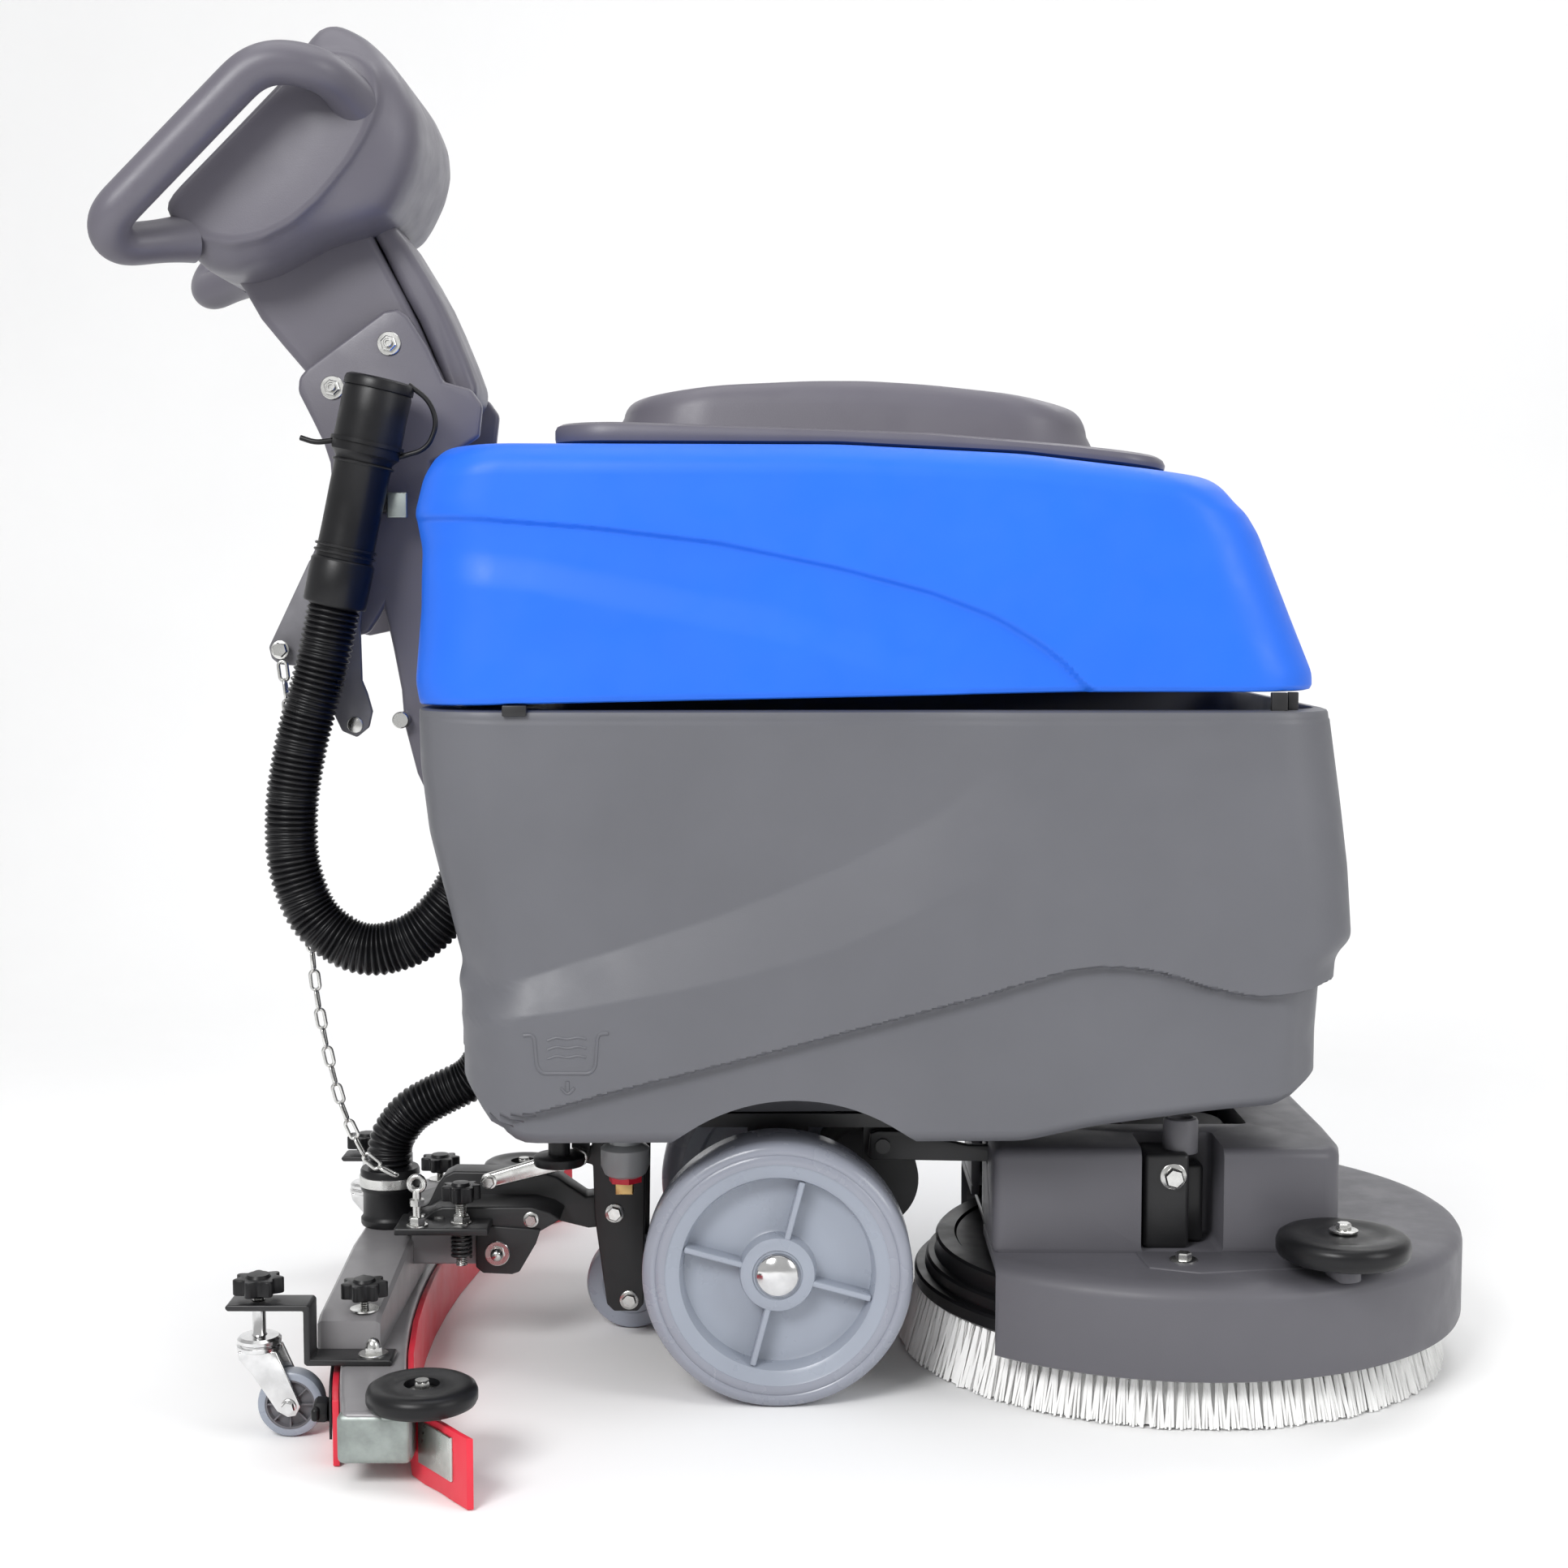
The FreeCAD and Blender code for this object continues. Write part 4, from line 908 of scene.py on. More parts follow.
def cuff():
    """The drain hose's upper cuff with its clip, cap and tether."""
    top = CUFF_LENGTH
    profile = [(0, 0), (24, 0), (25, 1.5), (25, 34), (24, 36), (22.5, 37), (22.2, 60), (22.5, top - 56),
               (24.5, top - 53), (26.8, top - 51), (27, top - 48), (26.6, top - 20), (27, top - 3),
               (26, top), (0, top)]
    parts = [lathe("cuff", profile, CUFF_LOW, CUFF_ALONG, 72)]
    for height in (40, 45, top - 60):
        ring = [(22, height), (24, height), (24.6, height + 1), (24, height + 2), (22, height + 2)]
        parts.append(lathe("ring", ring, CUFF_LOW, CUFF_ALONG, 72))
    parts.append(block("clip", -352, -334, -95, -62, 700, 716, 2))
    dress(joined("drain_cuff_body", parts), "root", "black_plastic", BLACK, "drain_cuff")
    strap = CUFF_LOW + CUFF_ALONG * (top - 44)
    tether = [lathe("collar", [(26.6, 0), (29, 0), (29, 3), (26.6, 3)], strap, CUFF_ALONG, 72)]
    loop = [(24, 0, 4), (40, 0, -8), (46, 0, -26), (38, 0, -46), (16, 0, -52)]
    tongue = [(-26, 0, 4), (-40, -2, 2), (-52, 0, 6)]
    for start, shifts, radius in ((CUFF_HIGH, loop, 2.0), (strap, tongue, 2.2)):
        line = arc_route([start + Vector(shift) for shift in shifts], 2)
        tether.append(sweep("strand", line, [radius] * len(line), 12))
    dress(joined("cap_tether", tether), "root", "black_plastic", BLACK)
    cap_profile = [(0, 0.1), (27.5, 0.1), (27.5, 5), (26.5, 7.5), (24, 9), (18, 9.0), (17, 8.2),
                   (6, 8.2), (0, 8.4)]
    dress(lathe("drain_cap_lid", cap_profile, CUFF_HIGH, CUFF_ALONG, 72), "cap", "black_plastic",
          BLACK, "drain_cap")
    clamp = block("cuff_clamp", -335, -319, -96, -92, 696, 716, 1.0)
    dress(clamp, "root", "clamp_steel", ALUMINIUM)


DRAIN_ROUTE = [(-375.02, -110, 626.9), (-386, -110, 577), (-402, -110, 524), (-412, -110, 470),
               (-412, -110, 420), (-395, -110, 374), (-356, -110, 349), (-312, -110, 360),
               (-280, -109, 395), (-262, -107, 445), (-256, -105, 498), (-255, -105, 551)]
VACUUM_ROUTE = [(-356, 0, 149), (-356, 0, 172), (-339, 0, 197), (-310, 0, 213), (-282, 0, 226),
                (-268, 0, 254), (-266, 0, 300), (-264, 0, 348), (-265, 0, 400), (-264, 0, 450),
                (-263, -4, 500), (-262, -8, 551)]
CHAIN_ROUTE = [(-424, -78, 583), (-418, -78, 530), (-414, -78, 475), (-409, -78, 420),
               (-405, -78, 365), (-401, -78, 312), (-393, -78, 265), (-381, -78, 215),
               (-362, -78, 174), (-336, -78, 160)]


HOSE_STEP, RIDGE_PITCH = 0.75, 4.6


def run_length(line):
    return sum((b - a).length for a, b in zip(line, line[1:]))


def lay(line):
    """Works out the length of a dense line in metres and leaves it unused."""
    run_length(line) * MM


def hoses():
    """The two ridged hoses."""
    line = arc_route(DRAIN_ROUTE, HOSE_STEP)
    hose = sweep("drain_hose_tube", line, ridged(line, 21.0, 18.4, RIDGE_PITCH), 40, 80)
    dress(hose, "root", "hose", HOSE, "drain_hose")
    lay(line)
    line = arc_route(VACUUM_ROUTE, HOSE_STEP)
    hose = sweep("vacuum_hose_tube", line, ridged(line, 19.0, 16.6, RIDGE_PITCH), 40, 80)
    hose.data.materials.append(HOSE)
    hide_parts("vacuum_hose")
    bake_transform(hose)
    lay(line)


def chain():
    """Oval wire links, each a quarter turn from the last."""
    line = arc_route(CHAIN_ROUTE, 1.0)
    wire, half_length, half_width = 1.5, 9.4, 4.9
    pitch = 2 * (half_length - wire)
    marks, run, due = [], 0.0, half_length
    for a, b in zip(line, line[1:]):
        run += (b - a).length
        if run >= due:
            marks.append((a, (b - a).normalized()))
            due += pitch
    straight_half, bend = half_length - half_width, half_width - wire
    oval = []
    for end, start in ((straight_half, -math.pi / 2), (-straight_half, math.pi / 2)):
        for a in [start + math.pi * i / 9 for i in range(10)]:
            oval.append((end + bend * math.cos(a), bend * math.sin(a)))
    bm = bmesh.new()
    for index, (at, ahead) in enumerate(marks):
        side = ahead.cross(Vector(Y_AXIS)).normalized()
        across = Vector(Y_AXIS) if index % 2 else side
        normal = ahead.cross(across)
        rings = []
        for k in range(len(oval)):
            u, v = oval[k]
            before, after = Vector(oval[k - 1]), Vector(oval[(k + 1) % len(oval)])
            flow = (after - before).normalized()
            outward = Vector((flow.y, -flow.x))
            centre = at + ahead * u + across * v
            radial = ahead * outward.x + across * outward.y
            rings.append([bm.verts.new(centre + (radial * math.cos(t) + normal * math.sin(t)) * wire)
                          for t in circle_angles(8)])
        for low, high in zip(rings, rings[1:] + rings[:1]):
            bridge_rings(bm, low, high)
    links = new_object("lift_chain_links", bm, 60)
    dress(links, "chain", "steel_bright", ZINC, "lift_chain")
    lay(line)


def lever():
    """The lift lever's plate and its bolts."""
    body = [(-402, 663), (-436, 593), (-434, 584), (-428, 579), (-416, 578), (-399, 584),
            (-386, 566), (-384, 538), (-378, 525), (-366, 520), (-356, 528), (-353, 541),
            (-357, 556), (-361, 566), (-362, 610), (-358, 640), (-364, 656), (-372, 667), (-386, 668)]
    plate = prism("lever_plate", body, -71, -66, 1.4)
    dress(plate, "lever", "lever_grey", LEVER_GREY, "lift_lever")
    pin = [(0, 0), (3.6, 0), (4, 0.6), (4, 13), (0, 13)]
    button = [(0, 0), (6.4, 0), (6.4, 1), (5.6, 1.5), (0, 1.6)]
    parts = [lathe("eye_pin", pin, (-425, -83, 591), Y_AXIS, 24),
             hex_head("eye_bolt_head", (-425, -78, 591), NEAR, 11, 4, 7.5),
             lathe("low_bolt", button, (-367, -71, 530), NEAR, 32)]
    dress(joined("lever_bolts", parts), "lever", "steel_bright", ZINC)


cuff()
hoses()
chain()
lever()

# ------------------------------------------------------------- wheels and underside


def wheel(side, label):
    """A drive wheel: tyre, dished hub with four ribs, and its cap."""
    at, out = WHEEL_CENTRE, (0, side, 0)
    tyre = [(88, 122), (99, 122), (104, 124.5), (106, 129), (106, 171), (104, 175.5), (99.5, 177.6),
            (97, 177.9), (95.5, 176.6), (94, 177.8), (90, 178), (88, 177.4), (88, 122)]
    dress(lathe("tyre_" + label, tyre, at, out, 128, 50), "drive_wheel_" + label, "tyre", TYRE_GREY,
          "drive_tyre_" + label)
    dish = [(10.1, 122), (32, 122), (33, 124), (33, 140), (72, 142), (74, 124), (76, 122), (88, 122),
            (88, 177), (86.5, 176.2), (80, 174.5), (77, 172.8), (75, 168), (73.8, 157.5),
            (71, 156.2), (33, 157.2), (30.5, 158.5), (30, 170), (28.8, 173.6), (25, 175), (20, 175.4),
            (19, 174), (0, 174)]
    parts = [lathe("dish", dish, at, out, 128, 40)]
    for k in range(4):
        rib = block("rib", at[0] + 28, at[0] + 75.5, side * 155, side * 173.5,
                    at[2] - 2.4, at[2] + 2.4, 1.4)
        parts.append(turned(rib, at, math.radians(15 + 90 * k)))
    dress(joined("hub_" + label, parts), "drive_wheel_" + label, "wheel_plastic", WHEEL_GREY,
          "drive_hub_" + label)
    cap = [(0, 174), (17.4, 174), (17.8, 175.2), (17, 177), (15, 178.8), (10, 181), (5, 182), (0, 182.3)]
    dress(lathe("hub_cap_" + label, cap, at, out, 64, 60), "drive_wheel_" + label, "caster_chrome",
          CHROME)


def rear_support():
    """The small rear wheel between the two plates of its bracket."""
    outline = [(-182, 206), (-182, 172), (-196, 171), (-196, 160), (-181, 156), (-180, 112), (-170, 36),
               (-164, 30), (-144, 30), (-139, 36), (-136, 206)]
    parts = [prism("cheek", outline, -24, -18, 1.5), prism("cheek", outline, 52, 58, 1.5),
             block("bridge", -182, -136, -24, 58, 198, 206, 1.0)]
    dress(joined("rear_bracket_plates", parts), "root", "steel_black", POWDER, "rear_bracket")
    bolts = []
    for x, z in ((-163, 115), (-151, 40)):
        bolts.append(hex_head("bolt", (x, -24, z), NEAR, 11, 4, 8))
        bolts.append(hex_head("bolt", (x, 58, z), Y_AXIS, 11, 4, 8))
        bolts.append(rod("pin", 5, 0, 80, (x, -23, z), Y_AXIS))
    dress(joined("rear_bracket_bolts", bolts), "root", "steel_bright", ZINC)
    tread = [(26, 21), (34, 21), (38.5, 23), (40, 27), (40, 41), (38.5, 45), (34, 47), (31, 47),
             (30, 45), (27, 44), (26, 30), (26, 21)]
    core = [(5.1, 21), (26, 22), (26.2, 40), (24, 41.5), (13, 40), (12, 46), (5.1, 47)]
    parts = [lathe("tread", tread, REAR_WHEEL_CENTRE, Y_AXIS, 72),
             lathe("core", core, REAR_WHEEL_CENTRE, Y_AXIS, 64)]
    dress(joined("rear_wheel_set", parts), "rear_wheel", "wheel_plastic", WHEEL_GREY, "rear_wheel")


def filter_set():
    """The clear-water filter bowl with its ring and fitting, and the cap behind it."""
    bowl = [(0, 160), (12, 160), (17, 163), (20, 170), (20, 184), (18, 186), (13, 188), (12, 204), (0, 204)]
    cap = [(0, 170), (20, 170), (21, 172), (21, 177), (19, 178.5), (9, 179), (9, 205), (0, 205)]
    dress(lathe("water_filter_bowl", bowl, (-150, -78, 0), steps=56), "root", "filter_plastic", PALE,
          "water_filter")
    dress(lathe("water_cap", cap, (-204, -78, 0), steps=56), "root", "black_plastic", BLACK)
    ring = lathe("filter_ring", [(12, 156), (14, 156), (14, 163), (12, 163)], (-150, -78, 0), steps=6)
    dress(ring, "root", "blade_red", RED)
    fitting = joined("filter_fitting", [block("brass", -158, -143, -84, -72, 146, 157, 1.2),
                                        rod("stub", 5, 150, 162, (-150, -78, 0))])
    dress(fitting, "root", "steel_bright", BRASS)


def underside():
    """Materials of the plain CAD pieces that stay."""
    for node, paint in (("chassis", POWDER), ("drive_unit", MOTOR), ("battery_pack", BLACK),
                        ("vacuum_motor", MOTOR)):
        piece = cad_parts[node]
        piece.data.materials.clear()
        piece.data.materials.append(paint)


for drive_side, drive_label in SIDES:
    wheel(drive_side, drive_label)
rear_support()
filter_set()
underside()

# ------------------------------------------------------------- brush deck

def deck():
    """The brush deck's cover, pads, bolts, steel frame and motor."""
    rim = [(0, 108), (228, 108), (234, 105), (236, 100), (236, 42), (238.5, 41.9), (241, 43.2),
           (242, 46), (242, 103), (241.2, 107), (239, 110.5), (235, 113.2), (229, 115.2), (222, 116),
           (0, 116)]
    cover = lathe("deck_skin", rim, BRUSH_CENTRE, steps=192, sharp=50)
    rear_cuts = [block("behind", 0, 145, -300, 300, 0, 300), block("edge", 140, 166, -175, 175, 0, 108.2)]
    outline = [(145, -150), (406, -150), (419, -143), (424, -120), (426, -60), (426, 60), (424, 120),
               (419, 143), (406, 150), (145, 150)]
    housing = plan("housing", outline, 112, 200, 9, 5)
    cover = cut_with(cover, rear_cuts)
    cover = cut_with(cover, [housing], "UNION")
    cuts = [block("well", 130, 362, -62, 62, 80, 260, 6, 3), block("nose", 370, 416, -63, 63, 80, 192)]
    cuts += [block("pocket", x0, x1, side * y, side * 142, 80, 192)
             for x0, x1, y in ((152, 254, 62), (334, 416, 60)) for side in (LEFT, RIGHT)]
    for side, _ in SIDES:
        cuts.append(block("slot", 262, 327, side * 91, side * 190, 116.3, 260, 5, 3))
        cuts.append(block("notch", 130, 160, side * 86, side * 98, 174, 193))
    cover = cut_with(cover, cuts)
    cover = soften(cover, 1.3, 2, 50)
    dress(cover, "deck", "deck_plastic", DECK_GREY, "deck_cover")
    pads, steel, dark = [], [], []
    for side, label in SIDES:
        pad = plan("pad", [(258, side * 146), (400, side * 150), (392, side * 190), (300, side * 205),
                           (262, side * 190)], 112, 117.2, 1.5)
        pads.append(pad)
        axle = (BUMPER_X, side * BUMPER_Y, 0)
        boss = [(0, 112), (14, 112), (13, 126), (12, 127.5), (0, 127.5)]
        pads.append(lathe("boss", boss, axle, steps=48))
        steel.append(hex_head("bolt", (292, side * 172, 117), UP, 11, 5, 11))
        steel.append(rod("spacer", 6, 148, 150, axle))
        steel.append(hex_head("top", (BUMPER_X, side * BUMPER_Y, 149), UP, 10, 5, 11))
        steel.append(rod("shaft", 5.9, 120, 152, axle))
        dark.append(block("plate", 266, 302, side * 94, side * 137.5, 116.5, 193, 4, 4))
        dark.append(block("web", 300, 316, side * 96, side * 120, 117, 180, 3))
        steel.append(hex_head("flange", (289, side * 137.5, 175), (0, side, 0), 14, 7, 10.5))
        tube = [(0, 190), (14, 190), (14, 215), (13, 217.2), (10, 218), (8.4, 217), (8, 210), (0, 210)]
        sleeve = lathe("slot_sleeve_" + label, tube, (298, side * 115, 0), steps=56)
        dress(sleeve, "deck", "steel_black", LEVER_GREY)
    dress(joined("deck_pads", pads), "deck", "deck_plastic", DECK_GREY)
    dress(joined("deck_bolts", steel), "deck", "steel_bright", ZINC)
    dark.append(block("bar", 150, 345, -98, 98, 100.2, 107.8, 1.5))
    dark.append(block("post", 150, 162, -12, 12, 107, 195, 1.5))
    arm_outline = [(48, 180), (50, 200), (56, 202), (72, 202), (130, 190), (203, 190), (205, 188),
                   (205, 107), (190, 107), (190, 176), (72, 178), (52, 178)]
    for side, _ in SIDES:
        dark.append(prism("arm", arm_outline, side * 88, side * 96, 1.2))
    dress(joined("deck_steel", dark), "deck", "steel_black", POWDER, "deck_frame")
    motor = [(0, 108), (46, 108), (48, 110), (48, 150), (46.5, 151), (48, 152), (48, 184), (44, 189),
             (0, 190)]
    dress(lathe("brush_motor_can", motor, BRUSH_CENTRE, steps=72), "deck", "motor_black", MOTOR,
          "brush_motor")


def bumper(side, label):
    """The roller at a front corner of the deck."""
    at = (BUMPER_X, side * BUMPER_Y, 128)
    tyre = [(6.1, 0.2), (40, 0), (46, 0.8), (49.5, 3), (51, 7), (51, 13), (49.5, 17), (46, 19.2), (40, 20),
            (33, 19.6), (30, 18.6), (20, 18.2), (17, 19), (12, 19.6), (6.1, 19.6)]
    dress(lathe("bumper_" + label, tyre, at, steps=96, sharp=50), "deck_bumper_" + label,
          "black_plastic", BLACK, "deck_bumper_" + label)


def brush():
    """The disc, five rows of loose strands and the solid cone of bristles behind them."""
    plate = [(12.1, 74), (68, 74), (70, 50.5), (72, 50), (214, 50), (216, 52), (216, 61), (214, 63),
             (207, 63.5), (206, 72), (204, 74), (199, 74.5), (198, 76), (198, 88), (196, 90), (182, 90),
             (180, 88), (120, 87), (118, 90), (12.1, 90)]
    dress(lathe("brush_disc", plate, BRUSH_CENTRE, steps=160), "brush", "black_plastic", BLACK,
          "brush_plate")
    dice = random.Random(7)
    bm = bmesh.new()
    rows = ((211, 228.3, 150), (196, 205, 100), (176, 181, 88), (150, 153, 70), (122, 124, 56))
    for root_r, tip_r, count in rows:
        strands = 12 if root_r > 200 else 5
        for k in range(count):
            spin = 2 * math.pi * k / count
            for _ in range(strands):
                a0 = spin + dice.uniform(-0.006, 0.006)
                a1 = spin + dice.uniform(-0.026, 0.026) * 200 / tip_r
                r0 = root_r + dice.uniform(-3.0, 3.0)
                r1 = min(229.0, tip_r + dice.uniform(-5.5, 0.7))
                strand(bm, r0, a0, r1, a1, 0.8 + dice.uniform(0, 2.2))
    dress(new_object("brush_bristles", bm, 70), "brush", "bristle", WHITE, "bristles")
    backing = [(202, 50.5), (206, 50.5), (222.5, 2.2), (219, 2.0), (200, 44)]
    dress(lathe("bristle_backing", backing, BRUSH_CENTRE, steps=160), "brush", "bristle", WHITE)


def strand(bm, r0, a0, r1, a1, low):
    """One group of filaments that leans out from the plate to the floor."""
    top = Vector((BRUSH_CENTRE[0] + r0 * math.cos(a0), r0 * math.sin(a0), 51))
    tip = Vector((BRUSH_CENTRE[0] + r1 * math.cos(a1), r1 * math.sin(a1), low))
    _, u, v = axis_frame(tip - top)
    rings = []
    for at, size in ((top, 1.25), (top.lerp(tip, 0.6), 1.25), (tip, 1.05)):
        rings.append([bm.verts.new(at + (u * math.cos(t) + v * math.sin(t)) * size)
                      for t in (0.3, 1.87, 3.44, 5.01)])
    for a, b in zip(rings, rings[1:]):
        bridge_rings(bm, a, b)
    bm.faces.new(rings[-1])


deck()
for bump_side, bump_label in SIDES:
    bumper(bump_side, bump_label)
brush()

# ------------------------------------------------------------- squeegee


def band(name, apex, radius, half_width, half_length, z0, z1, rounding):
    """A strip that curves forward towards both ends, in plan."""
    def at(y, r):
        return (apex + radius - math.sqrt(r * r - y * y), y)
    steps = [half_length * (i / 30 - 1) for i in range(61)]
    outline = [at(y, radius + half_width) for y in steps]
    outline += [at(y, radius - half_width) for y in reversed(steps)]
    return plan(name, outline, z0, z1, rounding)


def squeegee_body():
    """The curved casting with its hood and seat, the end castings and the blade clamps."""
    casting = band("casting", -349, 1500, 24.6, 345, 22.4, 57, 4)
    hood = [(-216, 57), (-214, 82), (-205, 86), (-150, 91), (-60, 100), (60, 100), (150, 91), (205, 86),
            (214, 82), (216, 57)]
    bm = bmesh.new()
    sections = []
    for x, narrow, drop in ((-377, 0.99, 3), (-374, 1, 0), (-362, 1, 0), (-344, 1, 0), (-332, 1, 0),
                            (-329, 0.99, 3)):
        sections.append([bm.verts.new((x, y * narrow, z - drop)) for y, z in hood])
    for a, b in zip(sections, sections[1:]):
        bridge_rings(bm, a, b)
    bm.faces.new(sections[0])
    bm.faces.new(list(reversed(sections[-1])))
    hump = new_object("hump", bm)
    parts = [casting, hump, block("seat", -331, -246, -50, 50, 78, 106, 3)]
    dress(joined("squeegee_casting", parts), "squeegee", "deck_plastic", CAST_GREY, "squeegee_body")
    ends, pins, straps = [], [], []
    for side, _ in SIDES:
        ends.append(block("end", -338, -284.5, side * 306, side * 346, 19, 55.5, 5, 4))
        ends.append(block("lip", -305, -262, side * 300, side * 352, 53.2, 57, 1.5))
        pins.append(rod("pin", 4.9, 52, 76, (ROLLER_X, side * ROLLER_Y, 0)))
        pins.append(hex_head("top", (ROLLER_X, side * ROLLER_Y, 67.6), UP, 10, 6, 9.5))
        strap = [(-282.6, side * 330), (-267.2, side * 350), (-253.8, side * 368), (-251.6, side * 367),
                 (-265, side * 349), (-280.4, side * 329)]
        straps.append(plan("strap", strap, 15, 47, 0.8))
    dress(joined("end_castings", ends), "squeegee", "clamp_steel", ALUMINIUM)
    dress(joined("roller_pins", pins), "squeegee", "steel_bright", ZINC)
    dress(joined("end_clamps", straps), "squeegee", "clamp_steel", BRUSHED, "blade_clamps")


FRONT_BLADE = [(-321.4, 0), (-320.1, 60), (-316.5, 120), (-307.8, 200), (-296.5, 270), (-286.5, 318),
               (-275, 335), (-262, 350), (-249, 368), (-238, 382)]


def blades():
    """The two red blades and the rear blade's strap with its five clamps."""
    line = [(x, -y) for x, y in reversed(FRONT_BLADE)][:-1] + FRONT_BLADE
    outline = [(x - 2.4, y) for x, y in line] + [(x + 2.4, y) for x, y in reversed(line)]
    front = plan("front_blade_strip", outline, 0.8, 51.8, 0.6, 2)
    dress(front, "squeegee", "blade_red", RED, "front_blade")
    rear = band("rear_blade_strip", -376.6, 1527.6, 2.4, 300, 0.8, 50, 0.6)
    dress(rear, "squeegee", "blade_red", RED, "rear_blade")
    backs = [band("back_strap", -380.4, 1531.4, 1.0, 298, 20, 50, 0.4)]
    for y in (-285, -142, 0, 142, 285):
        x = 1151 - math.sqrt(1531.4 ** 2 - y * y)
        backs.append(lathe("wing", [(0, 0), (9, 0), (10, 2), (10, 8), (8, 10), (0, 10)], (x - 1, y, 38),
                           (-1, 0, 0), 8, 20))
        backs.append(block("wing_bar", x - 12, x - 6, y - 14, y + 14, 33, 43, 2.5))
    dress(joined("rear_blade_clamp", backs), "squeegee", "black_plastic", BLACK)


def lobed(name, x, y, low, radius, height, stem, stem_low, lobes=7):
    """A moulded hand knob with rounded lobes, on its screw."""
    outline = []
    for a in circle_angles(lobes * 12):
        reach = radius * (0.86 + 0.14 * math.cos(lobes * a))
        outline.append((x + reach * math.cos(a), y + reach * math.sin(a)))
    cap = plan(name + "_cap", outline, low, low + height, 2.2, 3)
    crown = lathe("crown", [(0, 0), (radius * 0.5, 0), (radius * 0.42, 2.4), (0, 2.8)],
                  (x, y, low + height - 0.2), steps=40)
    skirt = lathe("skirt", [(0, 0), (stem + 3, 0), (stem + 4, 3), (0, 3)], (x, y, low - 2.6), steps=40)
    screw_profile = []
    z = stem_low
    while z < low:
        screw_profile += [(stem, z), (stem - 0.6, z + 0.8)]
        z += 1.6
    screw = lathe(name + "_screw", [(0, stem_low)] + screw_profile + [(0, low + 1)], (x, y, 0), steps=24)
    return joined(name + "_top", [cap, crown, skirt]), screw


def knob(name, *sizes):
    """A hand knob; its node, its body and the piece share one name."""
    cap, screw = lobed(name, *sizes)
    dress(cap, name, "black_plastic", BLACK, name)
    dress(screw, name, "steel_bright", ZINC)


def arm():
    """The arm's casting, cut round the vacuum socket, with its two lugs and bolts."""
    hump = [(-339, 106), (-339, 113), (-322, 119), (-314, 136), (-308, 144), (-300, 148), (-226, 147),
            (-212, 143), (-201, 135), (-188, 126), (-172, 129), (-158, 128), (-151, 121), (-150, 112),
            (-156, 104), (-166, 101), (-186, 99), (-222, 108), (-244, 106)]
    wide = [(-339, 106), (-339, 113), (-320, 119), (-310, 126), (-304, 128.5), (-230, 128.5),
            (-214, 124), (-205, 118), (-222, 108)]
    parts = [block("shelf", -339, -262, -88, -40, 113, 119, 1.5)]
    for name, outline, half in (("hump", hump, 14), ("wide", wide, 56)):
        slot = rod("slot", 23.4, 60, 200, SOCKET_CENTRE, steps=48)
        parts.append(cut_with(prism(name, outline, -half, half, 2, 3), [slot]))
    tab = [(-276, 114), (-222, 110), (-226, 98), (-240, 74), (-246, 72), (-270, 73), (-276, 78)]
    steel = []
    for side, _ in SIDES:
        parts.append(prism("tab", tab, side * 53, side * 58, 1.2))
        steel.append(dome_nut("nut", (-258, side * 58, 90), (0, side, 0), 6.5, 9))
        steel.append(hex_head("side", (-230, side * 56, 118), (0, side, 0), 9, 3.5, 6.5))
    dress(joined("arm_casting", parts), "squeegee", "steel_black", POWDER, "squeegee_arm")
    steel.append(hex_head("height_nut", (HEIGHT_X, HEIGHT_Y, 119), UP, 13, 5, 9))
    steel.append(hex_head("shelf_bolt", (-306, -50, 119), UP, 9, 4, 7.5))
    dress(joined("arm_bolts", steel), "squeegee", "steel_bright", ZINC)


def socket():
    """The vacuum socket, the chain's eye bolt and the height knob's spring."""
    profile = [(0, 100.2), (24, 100.2), (25, 102), (25, 106), (23.5, 108), (23, 110), (23, 128),
               (24.4, 130), (25, 132), (25, 147), (24, 149), (0, 149)]
    dress(lathe("vacuum_socket_tube", profile, SOCKET_CENTRE, steps=72), "squeegee", "black_plastic",
          BLACK, "vacuum_socket")
    ring = lathe("socket_clamp", [(25, 134), (26, 134.5), (26, 142.5), (25, 143)], SOCKET_CENTRE, steps=72)
    dress(ring, "squeegee", "steel_bright", ZINC)
    circle = [Vector((EYE_BOLT_X + 6 * math.cos(a), CHAIN_Y, 154 + 6 * math.sin(a)))
              for a in [2 * math.pi * i / 40 for i in range(41)]]
    stem_at = (EYE_BOLT_X, CHAIN_Y, 0)
    parts = [sweep("eye", circle, [2.4] * len(circle), 16),
             hex_head("nut", (EYE_BOLT_X, CHAIN_Y, 119), UP, 12, 6, 9),
             rod("stem", 3.4, 119, 148, stem_at, steps=24), rod("collar", 6.5, 136, 141, stem_at, steps=6)]
    dress(joined("eye_bolt_set", parts), "squeegee", "steel_bright", ZINC, "eye_bolt")
    turns, rise = 6, 21
    coil = [Vector((HEIGHT_X + 7.6 * math.cos(a), HEIGHT_Y + 7.6 * math.sin(a),
                    90.4 + rise * a / (2 * math.pi * turns)))
            for a in [2 * math.pi * turns * i / 240 for i in range(241)]]
    dress(sweep("height_coil", coil, [1.3] * len(coil), 10), "squeegee", "steel_bright", POWDER,
          "height_spring")


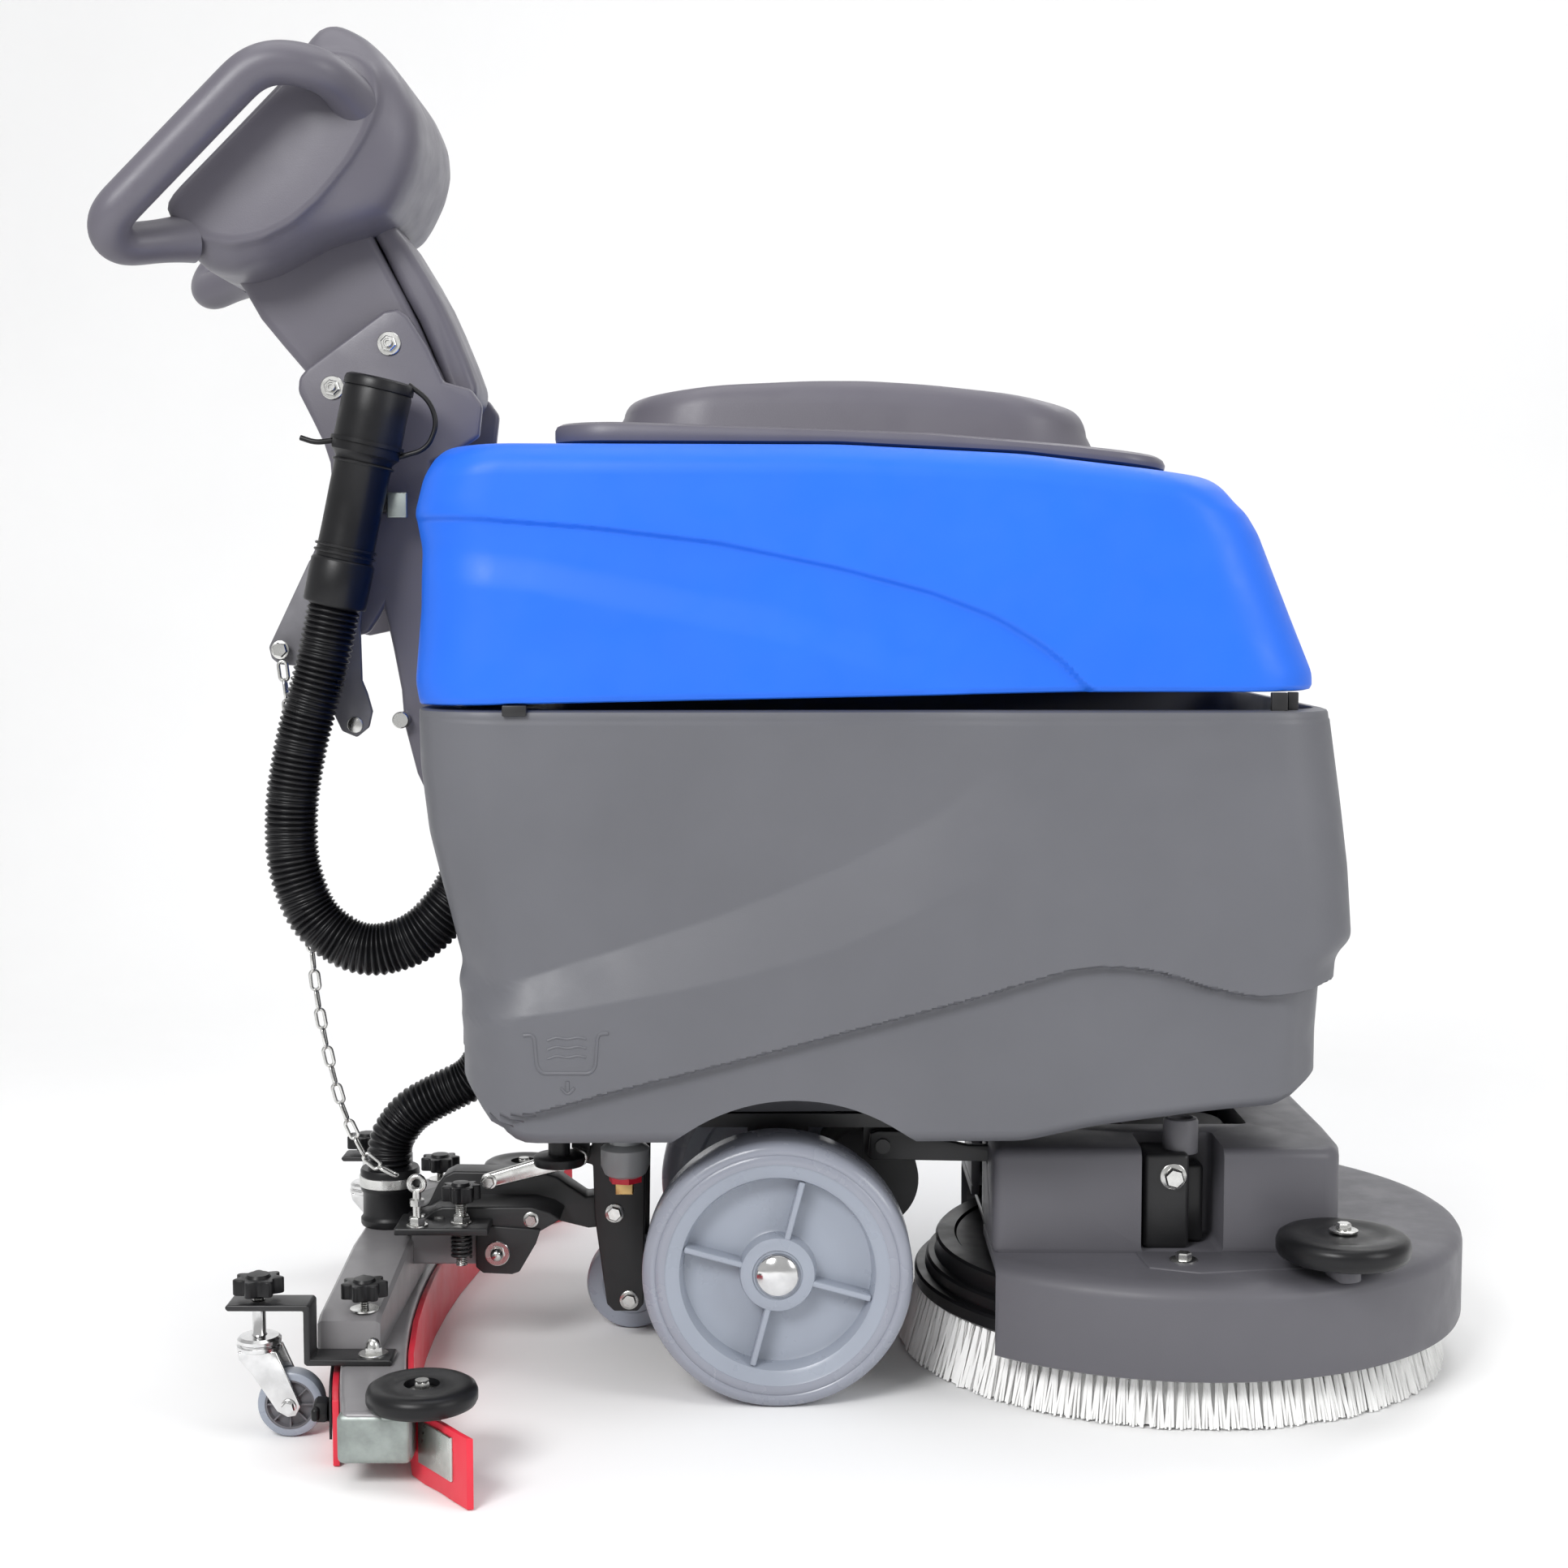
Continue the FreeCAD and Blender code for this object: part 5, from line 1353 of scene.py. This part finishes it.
def link():
    """The bar that swings on the chassis, above the arm."""
    bar = [(-272, 152), (-273, 147), (-268, 142), (-262, 142), (-186, 161), (-182, 166), (-184, 173),
           (-190, 176), (-196, 175), (-266, 154)]
    parts = [prism("bar", bar, -46, -38, 2.5, 4)]
    for x, z in ((-266, 147.5), (-206, 163), (-190, 168)):
        parts.append(hex_head("bolt", (x, -46, z), NEAR, 9, 3, 6.5))
    dress(joined("squeegee_link_bar", parts), "link", "steel_bright", ZINC, "squeegee_link")


def caster(side, label):
    """A caster with its bracket, knob, fork and wheel."""
    y = side * CASTER_Y
    outline = [(-438, 99.2), (-440, 102), (-438, 104), (-378, 104), (-376, 102), (-376, 62), (-316, 62),
               (-314, 59.5), (-316, 57.2), (-379, 57.2), (-381, 59), (-381, 99.2)]
    strap = prism("caster_strap_" + label, outline, side * 218, side * 246, 1.2)
    hole = rod("hole", 5.1, 90, 115, (CASTER_X, y, 0))
    dress(cut_with(strap, [hole]), "squeegee", "steel_black", POWDER, "caster_bracket_" + label)
    nut = dome_nut("caster_nut_" + label, (-331, y, 62), UP, 7, 13)
    dress(nut, "squeegee", "steel_bright", ZINC)
    knob("caster_knob_" + label, CASTER_X, y, 110, 19.5, 12, 4.6, 104.5)
    top = [(0, 66), (14, 66), (17, 67.5), (17, 70), (15, 71.5), (16.5, 72.5), (16.5, 75), (14.5, 77),
           (6, 77.5), (5, 79), (5, 102), (0, 102)]
    fork = [lathe("swivel", top, (CASTER_X, y, 0), steps=56)]
    cheek = [(-431, 68), (-402, 68), (-388, 36), (-384, 26), (-388, 18.5), (-394, 17.5), (-402, 22),
             (-420, 50), (-430, 62)]
    for cheek_y, head_y in ((-13, -13), (10.5, 13)):
        fork.append(prism("cheek", cheek, y + cheek_y, y + cheek_y + 2.5, 0.9))
        fork.append(hex_head("axle", (CASTER_WHEEL_X, y + head_y, CASTER_WHEEL_Z), (0, head_y, 0), 9, 3, 6))
    fork.append(rod("shaft", 3.9, 0, 26, (CASTER_WHEEL_X, y - 13, CASTER_WHEEL_Z), Y_AXIS, 24))
    dress(joined("caster_fork_set_" + label, fork), "caster_" + label, "caster_chrome", CHROME,
          "caster_fork_" + label)
    tread = [(19, -8.6), (22.5, -8.6), (24.4, -7.4), (25, -5), (25, 5), (24.4, 7.4), (22.5, 8.6),
             (19, 8.6), (19, -8.6)]
    core = [(4.1, -8), (7.5, -8), (8, -5), (16.5, -4), (17.5, -8), (19.2, -8), (19.2, 8), (17.5, 8),
            (16.5, 4), (8, 5), (7.5, 8), (4.1, 8)]
    at = (CASTER_WHEEL_X, y, CASTER_WHEEL_Z)
    spokes = [lathe("core", core, at, Y_AXIS, 56)]
    for k in range(8):
        rib = block("rib", CASTER_WHEEL_X + 7, CASTER_WHEEL_X + 18, y - 7.4, y + 7.4,
                    CASTER_WHEEL_Z - 0.6, CASTER_WHEEL_Z + 0.6)
        spokes.append(turned(rib, at, k * math.pi / 4))
    body = "caster_wheel_" + label
    dress(joined("caster_core_" + label, spokes), body, "black_plastic", LEVER_GREY)
    dress(lathe("caster_tread_" + label, tread, at, Y_AXIS, 72), body, "wheel_plastic", WHEEL_GREY,
          "caster_wheel_" + label)


def end_roller(side, label):
    """The roller at an end of the squeegee, and the knob on the casting."""
    disc = [(5.1, 0.2), (36, 0.2), (38.5, 1.5), (40, 4.5), (40, 10), (38.5, 13.5), (35, 15.6), (30, 16),
            (25, 15.2), (20, 14.6), (16, 15.2), (13, 15.6), (12.6, 10.4), (5.1, 10.2)]
    roller = lathe("end_roller_disc_" + label, disc, (ROLLER_X, side * ROLLER_Y, 57.5), steps=88, sharp=50)
    dress(roller, "end_roller_" + label, "black_plastic", BLACK, "end_roller_" + label)
    y = side * BODY_KNOB_Y
    knob("body_knob_" + label, BODY_KNOB_X, y, 97, 18.5, 12, 3.4, 72)
    washer = lathe("knob_washer_" + label, [(3.6, 86.6), (11, 86.6), (11, 88), (3.6, 88)],
                   (BODY_KNOB_X, y, 0), steps=48)
    dress(washer, "squeegee", "steel_bright", ZINC)


squeegee_body()
blades()
arm()
socket()
link()
knob("height_knob", HEIGHT_X, HEIGHT_Y, 139, 16.5, 12, 4.7, 84)
for squeegee_side, squeegee_label in SIDES:
    caster(squeegee_side, squeegee_label)
    end_roller(squeegee_side, squeegee_label)

# ------------------------------------------------------------- floor and light


def floor_material():
    material, nodes, links, shader, place = node_material("studio floor")
    slow = noise(nodes, links, place, 1.2)
    links.new(tint(nodes, links, ramp(nodes, links, slow, 0, 1), (0.93, 0.93, 0.93), (0.96, 0.96, 0.96)),
              shader.inputs["Base Color"])
    shader.inputs["Roughness"].default_value = 0.8
    return material


def backdrop():
    """A floor that curves up into a wall behind."""
    bm = bmesh.new()
    profile = [(-2600, 0), (1500, 0)]
    profile += [(1500 + 900 * math.sin(a), 900 - 900 * math.cos(a))
                for a in [math.radians(90 * i / 12) for i in range(1, 13)]]
    profile.append((2400, 5200))
    rows = [[bm.verts.new((x, y, z)) for y, z in profile] for x in (-6000, 6000)]
    for i in range(len(profile) - 1):
        bm.faces.new((rows[0][i], rows[0][i + 1], rows[1][i + 1], rows[1][i]))
    floor = new_object("backdrop", bm, 80)
    floor.data.materials.append(floor_material())


def area_light(name, location, target, size, power):
    """A white rectangular lamp that faces a target."""
    data = bpy.data.lights.new(name, "AREA")
    data.shape = "RECTANGLE"
    data.size, data.size_y = size
    data.energy = power
    light = bpy.data.objects.new(name, data)
    light.location = location
    light.rotation_euler = (Vector(target) - Vector(location)).to_track_quat("-Z", "Y").to_euler()
    SCENE.collection.objects.link(light)


backdrop()
world = bpy.data.worlds.new("studio")
world.use_nodes = True
sky = world.node_tree.nodes["Background"].inputs
sky["Color"].default_value = (1.0, 1.0, 1.0, 1)
sky["Strength"].default_value = 0.52
SCENE.world = world
area_light("top", (0.0, -0.2, 2.6), (0, 0, 0.4), (2.4, 1.6), 20)
area_light("front", (-1.2, -2.4, 2.1), (0, 0, 0.45), (1.2, 0.9), 60)
area_light("side", (2.2, -1.6, 1.4), (0.1, 0, 0.4), (0.9, 1.2), 20)
area_light("rim", (1.4, 2.0, 3.1), (0, 0, 0.5), (2.0, 1.0), 24)
SCENE.view_settings.view_transform = "Standard"
